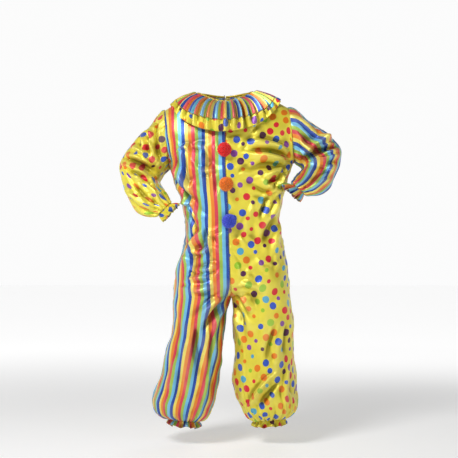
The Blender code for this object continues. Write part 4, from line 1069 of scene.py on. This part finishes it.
def ramp(tree, factor, colours, places=None):
    """A stepped colour ramp: equal steps, or steps that start at the given places."""
    node = add_node(tree, "ShaderNodeValToRGB", {"Fac": factor})
    node.color_ramp.interpolation = "CONSTANT"
    places = places or [i / len(colours) for i in range(len(colours))]
    while len(node.color_ramp.elements) < len(colours):
        node.color_ramp.elements.new(0.5)
    for element, place, colour in zip(node.color_ramp.elements, places, colours):
        element.position = place
        element.color = (*colour, 1)
    return node.outputs["Color"]


def principled(name, values):
    """A new material and its surface shader, with the shader's own values set by socket name."""
    material = bpy.data.materials.new(name)
    material.use_nodes = True
    surface = material.node_tree.nodes["Principled BSDF"]
    for socket, value in values.items():
        surface.inputs[socket].default_value = value
    return material, surface


def cloth_place(tree, shift=(0, 0, 0)):
    """The piece's place on the flat cloth, in metres, moved by the shift."""
    uv = add_node(tree, "ShaderNodeUVMap", uv_map="cloth").outputs["UV"]
    return add_node(tree, "ShaderNodeMapping", {"Vector": uv, "Location": shift}).outputs["Vector"]


def uv_parts(tree, layer):
    """The two numbers that a UV layer holds, as X and Y."""
    uv = add_node(tree, "ShaderNodeUVMap", uv_map=layer).outputs["UV"]
    return add_node(tree, "ShaderNodeSeparateXYZ", {0: uv}).outputs


def math_node(tree, operation, a, b=0.0):
    """One sum of two numbers, or of one where the operation takes no second."""
    return add_node(tree, "ShaderNodeMath", {0: a, 1: b}, operation=operation).outputs[0]


def map_range(tree, value, start, end, low=0.0, high=1.0, smooth=False):
    """How far the value is from start to end, given from low to high."""
    return add_node(tree, "ShaderNodeMapRange", {
        "Value": value, "From Min": start, "From Max": end, "To Min": low, "To Max": high,
    }, interpolation_type="SMOOTHSTEP" if smooth else "LINEAR").outputs["Result"]


def bump(tree, height, distance, strength, **below):
    """Normals tilted by a height, over those of the bump below it where Normal is given."""
    return add_node(tree, "ShaderNodeBump", {
        "Height": height, "Distance": distance, "Strength": strength, **below,
    }).outputs["Normal"]


def grey(tree, value):
    """A grey of the given value."""
    return add_node(tree, "ShaderNodeCombineColor", {0: value, 1: value, 2: value}).outputs[0]


def mix_colours(tree, factor, a, b, blend="MIX"):
    """Colour a turned into colour b by the factor, or blended with it in the way named."""
    node = add_node(tree, "ShaderNodeMix", {"Factor": factor}, data_type="RGBA", blend_type=blend)
    for name, value in (("A", a), ("B", b)):
        socket = next(s for s in node.inputs if s.name == name and s.type == "RGBA")
        if isinstance(value, bpy.types.NodeSocket):
            tree.links.new(value, socket)
        else:
            socket.default_value = (*value, 1)
    return next(s for s in node.outputs if s.type == "RGBA")


def stripes_pattern(tree, colours):
    """Even stripes of six colours along the cloth, whose edges waver by less than a millimetre."""
    place = cloth_place(tree)
    across = add_node(tree, "ShaderNodeSeparateXYZ", {0: place}).outputs["X"]
    waver = add_node(tree, "ShaderNodeTexNoise", {"Vector": place, "Scale": 60.0}).outputs["Fac"]
    across = math_node(tree, "ADD", across, math_node(tree, "MULTIPLY", waver, 0.0009))
    repeat = len(STRIPES) * STRIPE_WIDTH
    turns = math_node(tree, "FRACT", math_node(tree, "MULTIPLY", across, 1 / repeat))
    return ramp(tree, turns, [getattr(colours, f"stripe_{name}") for name in STRIPES])


def dots_pattern(tree, colours):
    """Round dots of three sizes and mixed colours, one in each cell of a turned and jittered grid,
    on a plain ground."""
    place = add_node(tree, "ShaderNodeMapping", {
        "Vector": cloth_place(tree), "Scale": (1 / DOT_SPACING,) * 3, "Rotation": (0, 0, 0.5),
    }).outputs["Vector"]
    dots = add_node(tree, "ShaderNodeTexVoronoi", {
        "Vector": place, "Scale": 1.0, "Randomness": 0.40,
    }, voronoi_dimensions="2D", feature="F1")
    chance = add_node(tree, "ShaderNodeSeparateColor", {0: dots.outputs["Color"]})
    size = ramp(tree, chance.outputs["Green"], [(r / DOT_SPACING,) * 3 for r in DOT_RADII],
                DOT_CHANCES)
    inside = math_node(tree, "LESS_THAN", dots.outputs["Distance"], size)
    tints = [getattr(colours, f"dot_{name}") for name in DOTS]
    return mix_colours(tree, inside, colours.dot_ground, ramp(tree, chance.outputs["Red"], tints))


def paint_fold_shade_and_highlight(tree, colour, shadow):
    """The colour with painted shade where the cloth sinks below its own smoothed form, and a painted
    highlight on its crests.
    """
    high = uv_parts(tree, "relief")["X"]
    painted_shade = map_range(tree, high, *PAINTED_SHADE_HEIGHTS, smooth=True)
    painted_highlight = map_range(tree, high, *PAINTED_HIGHLIGHT_HEIGHTS, high=PAINTED_HIGHLIGHT_MOST, smooth=True)
    colour = mix_colours(tree, painted_shade, colour, mix_colours(tree, 1.0, colour, shadow, "MULTIPLY"))
    return mix_colours(tree, painted_highlight, colour, CREST_PAINTED_HIGHLIGHT)


def stitching(tree, edge):
    """1 on the thread of the stitches that run along each sewn edge, and 0 beside them."""
    off_line = math_node(tree, "ABSOLUTE", math_node(tree, "SUBTRACT", edge["X"], STITCH_INSET))
    on_line = math_node(tree, "LESS_THAN", off_line, STITCH_WIDTH / 2)
    beat = math_node(tree, "FRACT", math_node(tree, "MULTIPLY", edge["Y"], 1 / STITCH_PITCH))
    return math_node(tree, "MULTIPLY", on_line, math_node(tree, "LESS_THAN", beat, STITCH_SHARE))


def satin_normals(tree, stitch):
    """Small soft wrinkles, a fine twill on them, and the stitches on top."""
    soft = add_node(tree, "ShaderNodeTexNoise", {
        "Vector": cloth_place(tree, (3, 5, 0)), "Scale": 24.0, "Detail": 3.0, "Roughness": 0.5,
        "Distortion": 0.5,
    }).outputs["Fac"]
    threads = add_node(tree, "ShaderNodeTexWave", {
        "Vector": cloth_place(tree), "Scale": 420.0, "Distortion": 0.4, "Detail": 1.0,
    }, bands_direction="DIAGONAL").outputs["Fac"]
    creases = bump(tree, soft, *SOFT_BUMP)
    twill = bump(tree, threads, *TWILL_BUMP, Normal=creases)
    return bump(tree, stitch, *STITCH_BUMP, Normal=twill)


def satin(name, pattern, colours, shadow, inside=False):
    """Polyester satin: its pattern, slightly uneven in tone, with painted shade in its folds and a
    painted highlight on its crests, over small soft wrinkles and a fine twill, with a broad gloss. The
    inside is the duller, paler back of the weave."""
    material, surface = principled(name, WEAVE_BACK_FINISH if inside else SATIN_FINISH)
    smoothest, roughest = (0.45, 0.87) if inside else (0.35, 0.47)
    tree = material.node_tree
    tone = add_node(tree, "ShaderNodeTexNoise", {
        "Vector": cloth_place(tree), "Scale": 9.0, "Detail": 4.0, "Roughness": 0.6,
    }).outputs["Fac"]
    shade = grey(tree, map_range(tree, tone, 0.3, 0.7, 0.90, 1.04))
    colour = mix_colours(tree, 1.0, pattern(tree, colours), shade, "MULTIPLY")
    # Painted shade in the folds and a painted highlight on the crests.
    colour = paint_fold_shade_and_highlight(tree, colour, shadow)
    if inside:
        colour = mix_colours(tree, WEAVE_BACK_COVER, colour, WEAVE_BACK)
    edge = uv_parts(tree, "edge")
    stitch = stitching(tree, edge)
    colour = mix_colours(tree, math_node(tree, "MULTIPLY", stitch, THREAD_COVER), colour, THREAD)
    # Darker along each sewn edge: partly wear, partly painted shade in the seam's groove.
    clear_of_wear_and_shade = map_range(tree, edge["X"], 0.0, EDGE_WEAR_AND_SHADE_WIDTH, 0.35, 1.0)
    colour = mix_colours(tree, clear_of_wear_and_shade, mix_colours(tree, 1.0, colour, EDGE_WEAR_AND_SHADE, "MULTIPLY"), colour)
    tree.links.new(colour, surface.inputs["Base Color"])
    rough = map_range(tree, tone, 0.0, 1.0, smoothest, roughest)
    tree.links.new(rough, surface.inputs["Roughness"])
    tree.links.new(satin_normals(tree, stitch), surface.inputs["Normal"])
    return material


def binding_pattern(tree, colours):
    """The binding's yellow, with painted shade in the small hollows that its stitches pull."""
    along = add_node(tree, "ShaderNodeTexWave", {
        "Vector": cloth_place(tree), "Scale": 52.0, "Distortion": 1.5, "Detail": 2.0,
    }).outputs["Fac"]
    painted_hollow_shade = tuple(c * 0.72 for c in colours.binding)
    return mix_colours(tree, along, painted_hollow_shade, tuple(colours.binding))


def satin_pair(kind, colours):
    """The outside and the inside of one of the satins, made once and then shared."""
    pattern = {"striped": stripes_pattern, "dotted": dots_pattern, "binding": binding_pattern}[kind]
    names = (f"{kind}_face", f"{kind}_inside")
    found = [bpy.data.materials.get(name) for name in names]
    if all(found):
        return found
    return [satin(name, pattern, colours, SHADOWS[kind], inside)
            for name, inside in zip(names, (False, True))]


def yarn_material(name, colour):
    """Cut yarn: its colour, with painted light at the tips and painted shade between the strands."""
    material, surface = principled(name, YARN_FINISH)
    tree = material.node_tree
    strand = uv_parts(tree, "cloth")
    # Each strand's random tone, and its painted lightness: painted shade at the root, painted light at
    # the tip.
    lot = math_node(tree, "MULTIPLY", strand["X"], 0.34)
    light = math_node(tree, "MULTIPLY", strand["Y"], 0.60)
    shade = grey(tree, math_node(tree, "ADD", math_node(tree, "ADD", lot, light), 0.22))
    colour = mix_colours(tree, 1.0, tuple(colour), shade, "MULTIPLY")
    tree.links.new(colour, surface.inputs["Base Color"])
    return material


def seam_depth(z):
    """How far forward the middle seam lies at a height."""
    heights = column(STRIPED_SECTIONS, "inner_z")[: TORSO_END + 1]
    depths = column(STRIPED_SECTIONS, "front")[: TORSO_END + 1]
    if z > heights[0]:
        line = yoke_points(STRIPED, FRONT, np.zeros(50), np.linspace(0, 1, 50))
        return float(np.interp(-z, -line[:, 2], -line[:, 1]))
    return float(np.interp(-z, -heights, depths))


def pompom_strands(centre, count, seed):
    """(points, quads, uv) of cut yarn that stands out from a ball's middle: directions spread by
    the golden angle and nudged, each strand a bent four-sided tube that thickens to a soft tip."""
    rng = np.random.default_rng(seed)
    i = np.arange(count) + 0.5
    z = 1 - 2 * i / count
    turn = i * math.pi * (3 - math.sqrt(5))
    ahead = np.stack([np.sqrt(1 - z**2) * np.cos(turn), np.sqrt(1 - z**2) * np.sin(turn), z], axis=-1)
    ahead = unit(ahead + rng.normal(0, STRAND_NUDGE, ahead.shape))
    ahead = ahead[ahead[:, 1] < STRAND_MOST_BACK]
    count = len(ahead)
    aside = unit(np.cross(ahead, unit(rng.normal(size=ahead.shape))))
    across = np.cross(ahead, aside)
    way = column(STRAND_RINGS, "way")[None, :, None]
    length = POMPOM_RADIUS * rng.uniform(*STRAND_LENGTHS, (count, 1, 1))
    bend = rng.normal(0, STRAND_BEND, (count, 1, 1)) * (way - way[:, :1]) * 2.5
    line = ahead[:, None] * way * length + aside[:, None] * bend
    thickness = rng.uniform(*STRAND_THICKNESSES, (count, 1, 1, 1))
    radius = column(STRAND_RINGS, "radius")[None, :, None, None] * thickness
    angle = np.arange(4) * math.pi / 2
    ring = (np.cos(angle)[None, :, None] * aside[:, None]
            + np.sin(angle)[None, :, None] * across[:, None])
    points = line[:, :, None] + ring[:, None] * radius
    index = np.arange(points[..., 0].size).reshape(count, len(STRAND_RINGS), len(angle))
    closed = np.concatenate([index, index[:, :, :1]], axis=2)
    sides = np.stack(
        [closed[:, :-1, :-1], closed[:, :-1, 1:], closed[:, 1:, 1:], closed[:, 1:, :-1]], axis=-1)
    faces = np.concatenate([sides.reshape(-1, 4), index[:, -1], index[:, 0, ::-1]])
    # Each strand's UV holds its random tone and its painted lightness, from painted shade at the root to
    # painted light at the tip.
    lot = np.broadcast_to(rng.uniform(0, 1, (count, 1, 1)), index.shape)
    light = np.broadcast_to(column(STRAND_RINGS, "light")[None, :, None], index.shape)
    uv = np.stack([lot, light], axis=-1).reshape(-1, 2)[faces]
    return points.reshape(-1, 3) + centre, faces, uv


def ball(centre, radius, columns=32, rows=20):
    """(points, quads, uv) of the tied core that the strands stand on: rings from pole to pole, the
    first and last of them tiny and filled by a strip of quads."""
    up = np.linspace(0.002, math.pi - 0.002, rows)[:, None]
    turn = np.arange(columns)[None, :] * 2 * math.pi / columns
    points = radius * np.stack(np.broadcast_arrays(
        np.sin(up) * np.cos(turn), np.sin(up) * np.sin(turn), -np.cos(up)), axis=-1)
    index = np.arange(rows * columns).reshape(rows, columns)
    k = np.arange(columns // 2 - 1)
    cap = np.stack([k, k + 1, columns - 2 - k, columns - 1 - k], axis=-1)
    sides = grid_quads(np.concatenate([index, index[:, :1]], axis=1))
    faces = np.concatenate([sides, index[0, cap[:, ::-1]], index[-1, cap]])
    # The core's UV is its painted lightness: painted shade between the strands.
    return points.reshape(-1, 3) + centre, faces, np.full((*faces.shape, 2), CORE_PAINTED_LIGHTNESS)


class CostumeCloth(bpy.types.PropertyGroup):
    """Sizes of the cloth and of what is sewn to it."""

    wall: FloatProperty(name="Cloth", description="Thickness of the satin", default=0.0008,
                        min=0.0002, max=0.002, unit="LENGTH")
    fold_depth: FloatProperty(name="Fold depth", description="Depth of the folds, as a share",
                              default=1.0, min=0, max=1.5, subtype="FACTOR")
    gather_depth: FloatProperty(name="Gathers", description="Depth of the gathers at each elastic",
                                default=0.0062, min=0, max=0.008, unit="LENGTH")
    strands: IntProperty(name="Strands", description="Yarn strands in each pompom", default=1700,
                         min=200, max=4000)


def tint(name, description, red, green, blue):
    """A colour setting from its 0 to 255 values on a screen."""
    linear = [c / 12.92 if c <= 0.04045 else ((c + 0.055) / 1.055) ** 2.4
              for c in (red / 255, green / 255, blue / 255)]
    return FloatVectorProperty(name=name, description=description, subtype="COLOR", size=3,
                               default=linear, min=0, max=1)


class CostumeColours(bpy.types.PropertyGroup):
    """Colours of the two satins, the binding and the pompoms."""

    stripe_dark_blue: tint("Dark blue", "First stripe, beside the middle seam", 32, 72, 162)
    stripe_light_blue: tint("Light blue", "Second stripe", 112, 184, 222)
    stripe_green: tint("Green", "Third stripe", 158, 192, 78)
    stripe_red: tint("Red", "Fourth stripe", 212, 62, 80)
    stripe_orange: tint("Orange", "Fifth stripe", 230, 132, 42)
    stripe_yellow: tint("Yellow", "Sixth stripe", 232, 214, 96)
    dot_ground: tint("Ground", "Ground of the dotted satin", 226, 211, 64)
    dot_blue: tint("Blue dot", "Dot colour", 45, 85, 190)
    dot_sky: tint("Sky dot", "Dot colour", 80, 165, 200)
    dot_red: tint("Red dot", "Dot colour", 215, 35, 50)
    dot_orange: tint("Orange dot", "Dot colour", 232, 125, 20)
    dot_violet: tint("Violet dot", "Dot colour", 130, 65, 155)
    dot_plum: tint("Plum dot", "Dot colour", 80, 25, 75)
    dot_green: tint("Green dot", "Dot colour", 150, 195, 40)
    binding: tint("Binding", "Binding round the neckline", 236, 205, 45)
    pompom_red: tint("Red pompom", "Upper pompom", 245, 22, 22)
    pompom_orange: tint("Orange pompom", "Middle pompom", 252, 135, 12)
    pompom_blue: tint("Blue pompom", "Lower pompom", 70, 90, 225)


class CostumeStage(bpy.types.PropertyGroup):
    """The floor, the lights and the camera."""

    floor_drop: FloatProperty(name="Floor drop", description="From the frills down to the floor",
                              default=0.068, unit="LENGTH")
    distance: FloatProperty(name="Camera distance", description="From the middle seam to the camera",
                            default=5.0, unit="LENGTH")
    camera_x: FloatProperty(name="Camera X", description="The camera's place across", default=0.0126,
                            unit="LENGTH")
    camera_z: FloatProperty(name="Camera Z", description="The camera's height", default=-0.5418,
                            unit="LENGTH")
    view_width: FloatProperty(name="View width", description="What the camera sees at the seam",
                              default=1.9236, unit="LENGTH")
    key_power: FloatProperty(name="Key light", description="Power of the main soft light",
                             default=130, unit="POWER")
    fill_power: FloatProperty(name="Fill light", description="Power of the second soft light",
                              default=12, unit="POWER")
    back_power: FloatProperty(name="Back light", description="Power of the light behind",
                              default=14, unit="POWER")
    sky: FloatProperty(name="Surroundings", description="Brightness of the pale surroundings",
                       default=0.97, min=0, max=3)


class COSTUME_OT_panels(bpy.types.Operator):
    """Cut and hang the four panels, each from the shoulder to the ankle"""

    bl_idname = "costume.panels"
    bl_label = "Panels"

    def execute(self, context):
        scene = context.scene
        for half in (STRIPED, DOTTED):
            materials = satin_pair(half.name, scene.costume_colours)
            for side, word in ((FRONT, "front"), (BACK, "back")):
                node = f"{word}_{half.name}"
                grid = panel_grid(half, side, COLUMNS[side], scene.costume_cloth)
                piece = cloth_piece(f"{node}_satin", grid, scene.costume_cloth.wall, materials)
                declare(piece, node)
        return {"FINISHED"}


class COSTUME_OT_sleeves(bpy.types.Operator):
    """Set in the two full sleeves, gathered at the wrist"""

    bl_idname = "costume.sleeves"
    bl_label = "Sleeves"

    def execute(self, context):
        scene = context.scene
        for kind, rings, folds in (
            ("dotted", DOTTED_SLEEVE, DOTTED_SLEEVE_FOLDS),
            ("striped", STRIPED_SLEEVE, STRIPED_SLEEVE_FOLDS),
        ):
            grid = sleeve_grid(
                rings, folds, SLEEVE_CRUMPLES[kind], SLEEVE_SEEDS[kind], scene.costume_cloth)
            materials = satin_pair(kind, scene.costume_colours)
            piece = cloth_piece(f"sleeve_{kind}_satin", grid, scene.costume_cloth.wall, materials, True)
            declare(piece, f"sleeve_{kind}")
        return {"FINISHED"}


class COSTUME_OT_collar(bpy.types.Operator):
    """Gather the striped flounce and its dotted band round the neckline"""

    bl_idname = "costume.collar"
    bl_label = "Collar"

    def execute(self, context):
        scene = context.scene
        wall = scene.costume_cloth.wall
        turn = math.pi - COLLAR_SLIT
        angle = np.linspace(-turn, turn, PLEATS * COLUMNS_PER_PLEAT + 1)
        flounce_way = np.linspace(0, BAND_START, FLOUNCE_ROWS + 1)
        band_way = np.linspace(BAND_START, 1, BAND_ROWS + 1)
        points, normals = collar_grid(angle, np.concatenate([flounce_way, band_way]))
        along, down = across_lengths(points), down_lengths(points)
        along[:FLOUNCE_ROWS + 1] = along[FLOUNCE_ROWS]
        along[FLOUNCE_ROWS + 1:] = along[-1]
        uv = np.stack([along, np.repeat(down.mean(axis=1, keepdims=True), len(angle), 1)], axis=-1)
        rows = slice(0, FLOUNCE_ROWS + 1)
        edges = nearest_edge((down[FLOUNCE_ROWS] - down[rows], along[rows]))
        flounce = cloth_piece(
            "collar_flounce_satin", (points[rows], normals[rows], uv[rows], edges), wall,
            satin_pair("striped", scene.costume_colours))
        declare(flounce, "collar_flounce")
        rows = slice(FLOUNCE_ROWS + 1, None)
        edge = points[rows].copy()
        edge[0] += unit(edge[1] - edge[0]) * SEAM_GAP
        lift = smooth_step(np.linspace(1, 0, len(edge)) * 2.0)[:, None, None] * BAND_LIFT
        edges = nearest_edge(
            (down[rows] - down[rows][0], along[rows]), (down[-1] - down[rows], along[rows]))
        band = cloth_piece(
            "collar_band_satin", (edge + normals[rows] * lift, normals[rows], uv[rows], edges), wall,
            satin_pair("dotted", scene.costume_colours))
        declare(band, "collar_band")
        return {"FINISHED"}


class COSTUME_OT_binding(bpy.types.Operator):
    """Bind the neckline with a narrow roll of yellow satin"""

    bl_idname = "costume.binding"
    bl_label = "Neck binding"

    def execute(self, context):
        scene = context.scene
        turn = math.pi - COLLAR_SLIT
        path = neckline_points(np.linspace(-turn, turn, BINDING_STEPS + 1))
        path[:, 2] += BINDING_RADIUS + BINDING_LIFT
        along = across_lengths(path[None])[0]
        radius = BINDING_RADIUS * (1.28 + 0.06 * np.cos(2 * math.pi * along / BINDING_PITCH))
        radius[[0, -1]] *= 0.35
        points = tube_grid(path, radius, BINDING_SIDES)
        normals = unit(points - path[:, None])
        across = np.linspace(0, 2 * math.pi * BINDING_RADIUS, BINDING_SIDES + 1)[None, :]
        uv = np.stack(np.broadcast_arrays(along[:, None], across), axis=-1)
        edges = nearest_edge((np.full(uv.shape[:2], BINDING_STITCH), along[:, None]))
        piece = cloth_piece("neck_binding_satin", (points, normals, uv, edges), BINDING_WALL,
                            satin_pair("binding", scene.costume_colours), True)
        declare(piece, "neck_binding")
        return {"FINISHED"}


class COSTUME_OT_frills(bpy.types.Operator):
    """Let the cloth flare out below each elastic at the wrists and ankles"""

    bl_idname = "costume.frills"
    bl_label = "Frills"

    def execute(self, context):
        scene = context.scene
        rows = []
        for frill, rings in zip(CUFF_FRILLS, (DOTTED_SLEEVE, STRIPED_SLEEVE)):
            inwards = math.copysign(CUFF_STEP, -frill.outer_x)
            rows.append((frill, rings[-1]._asdict(), (inwards, 0, -CUFF_STEP)))
        for frill, half in zip(ANKLE_FRILLS, (STRIPED, DOTTED)):
            last = half.sections[-1]
            first = {key: getattr(last, key) for key in ("outer_x", "outer_z", "inner_x", "inner_z")}
            rows.append((frill, {**first, "y": 0.0, "depth": last.front}, (0, 0, -ANKLE_STEP)))
        for number, (frill, first, away) in enumerate(rows):
            place, _, kind = frill.name.split("_")
            grid = frill_grid(frill, first, away, FRILL_SEED + number)
            piece = cloth_piece(f"{frill.name}_satin", grid, scene.costume_cloth.wall,
                                satin_pair(kind, scene.costume_colours), True)
            declare(piece, frill.name)
        return {"FINISHED"}


class COSTUME_OT_pompoms(bpy.types.Operator):
    """Sew the three yarn pompoms down the middle seam"""

    bl_idname = "costume.pompoms"
    bl_label = "Pompoms"

    def execute(self, context):
        scene = context.scene
        for number, pompom in enumerate(POMPOMS):
            centre = np.array([pompom.x, -seam_depth(pompom.z) - POMPOM_CORE - POMPOM_SEAT, pompom.z])
            strands = pompom_strands(centre, scene.costume_cloth.strands, POMPOM_SEED + number)
            core = ball(centre, POMPOM_RADIUS * CORE_SHARE)
            points = np.concatenate([core[0], strands[0]])
            faces = np.concatenate([core[1], strands[1] + len(core[0])])
            uv = np.concatenate([core[2], strands[2]])
            material = yarn_material(pompom.name, getattr(scene.costume_colours, pompom.name))
            piece = mesh_of(f"{pompom.name}_yarn", points, faces, {"cloth": uv}, np.zeros(len(faces)),
                            [material])
            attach(piece, BODY)
            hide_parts(pompom.name)
        return {"FINISHED"}


class COSTUME_OT_stage(bpy.types.Operator):
    """Lay the pale floor and set up the soft lights and the camera"""

    bl_idname = "costume.stage"
    bl_label = "Stage"

    def execute(self, context):
        scene = context.scene
        stage = scene.costume_stage
        self.lay_floor(CAD_BOX[0][2] - stage.floor_drop)
        for lamp in LAMPS:
            self.add_light(scene, lamp, getattr(stage, f"{lamp.name}_power"))
        self.add_camera(scene, stage)
        self.set_world(scene, stage.sky)
        scene.view_settings.view_transform = "Standard"
        return {"FINISHED"}

    def lay_floor(self, height):
        """A flat square, far wider than the view, that gives off a little light far from the middle,
        where the lamps don't reach."""
        corners = np.array([[-1, -1], [1, -1], [1, 1], [-1, 1]]) * FLOOR_REACH
        points = np.column_stack([corners, np.full(4, height)])
        material, surface = principled("pale_floor", FLOOR_FINISH)
        tree = material.node_tree
        place = add_node(tree, "ShaderNodeTexCoord").outputs["Object"]
        flat = add_node(tree, "ShaderNodeVectorMath", {0: place, 1: (1, 1, 0)}, operation="MULTIPLY")
        away = add_node(tree, "ShaderNodeVectorMath", {0: flat.outputs[0]}, operation="LENGTH")
        glow = map_range(tree, away.outputs["Value"], 1.2, 4.5, 0.34, 0.76, smooth=True)
        tree.links.new(glow, surface.inputs["Emission Strength"])
        faces = np.array([[0, 1, 2, 3]])
        mesh_of("floor", points, faces, {"floor": corners[faces]}, np.zeros(1), [material])

    def add_light(self, scene, lamp, power):
        """A round soft light that faces its aim."""
        data = bpy.data.lights.new(f"{lamp.name}_light", "AREA")
        data.shape = "DISK"
        data.size = lamp.size
        data.energy = power
        light = bpy.data.objects.new(f"{lamp.name}_light", data)
        light.location = lamp.place
        ahead = Vector(lamp.aim) - Vector(lamp.place)
        light.rotation_euler = ahead.to_track_quat("-Z", "Y").to_euler()
        scene.collection.objects.link(light)

    def add_camera(self, scene, stage):
        """A level camera in front, whose lens takes in the view width at the middle seam."""
        data = bpy.data.cameras.new("camera")
        data.sensor_width = SENSOR_WIDTH
        data.lens = data.sensor_width * stage.distance / stage.view_width
        camera = bpy.data.objects.new("camera", data)
        camera.location = (stage.camera_x, -stage.distance, stage.camera_z)
        camera.rotation_euler = (math.pi / 2, 0, 0)
        scene.collection.objects.link(camera)
        scene.camera = camera

    def set_world(self, scene, strength):
        """Surroundings that are bright round the horizon, most behind the costume, and dimmer above
        and below."""
        world = bpy.data.worlds.new("pale_studio")
        world.use_nodes = True
        tree = world.node_tree
        direction = add_node(tree, "ShaderNodeTexCoord").outputs["Generated"]
        parts = add_node(tree, "ShaderNodeSeparateXYZ", {0: direction}).outputs
        level = math_node(tree, "ABSOLUTE", parts["Z"])
        fade = map_range(tree, level, 0.18, 0.5, strength, strength * 0.2, smooth=True)
        behind = map_range(tree, parts["Y"], -0.6, 0.5, 0.44, 1.0, smooth=True)
        background = tree.nodes["Background"]
        background.inputs["Color"].default_value = (1, 1, 1, 1)
        tree.links.new(math_node(tree, "MULTIPLY", fade, behind), background.inputs["Strength"])
        scene.world = world


OPERATORS = (
    COSTUME_OT_panels, COSTUME_OT_sleeves, COSTUME_OT_collar, COSTUME_OT_binding,
    COSTUME_OT_frills, COSTUME_OT_pompoms, COSTUME_OT_stage,
)


class COSTUME_PT_sidebar(bpy.types.Panel):
    """Lists the costume's pieces and their settings"""

    bl_idname = "COSTUME_PT_sidebar"
    bl_label = "Clown Costume"
    bl_space_type = "VIEW_3D"
    bl_region_type = "UI"
    bl_category = "Costume"

    def draw(self, context):
        for operator in OPERATORS:
            self.layout.operator(operator.bl_idname)
        for name in ("costume_cloth", "costume_colours", "costume_stage"):
            group = getattr(context.scene, name)
            box = self.layout.box()
            for key in group.__annotations__:
                box.prop(group, key)


GROUPS = {
    "costume_cloth": CostumeCloth, "costume_colours": CostumeColours, "costume_stage": CostumeStage,
}


def register():
    for group in (*GROUPS.values(), *OPERATORS, COSTUME_PT_sidebar):
        bpy.utils.register_class(group)
    for name, group in GROUPS.items():
        setattr(bpy.types.Scene, name, PointerProperty(type=group))


def unregister():
    for name in GROUPS:
        delattr(bpy.types.Scene, name)
    for group in reversed((*GROUPS.values(), *OPERATORS, COSTUME_PT_sidebar)):
        bpy.utils.unregister_class(group)


def main():
    """Makes every piece and the stage."""
    register()
    for make in (
        bpy.ops.costume.panels, bpy.ops.costume.sleeves, bpy.ops.costume.collar,
        bpy.ops.costume.binding, bpy.ops.costume.frills, bpy.ops.costume.pompoms,
        bpy.ops.costume.stage,
    ):
        make()


if __name__ == "__main__":
    main()
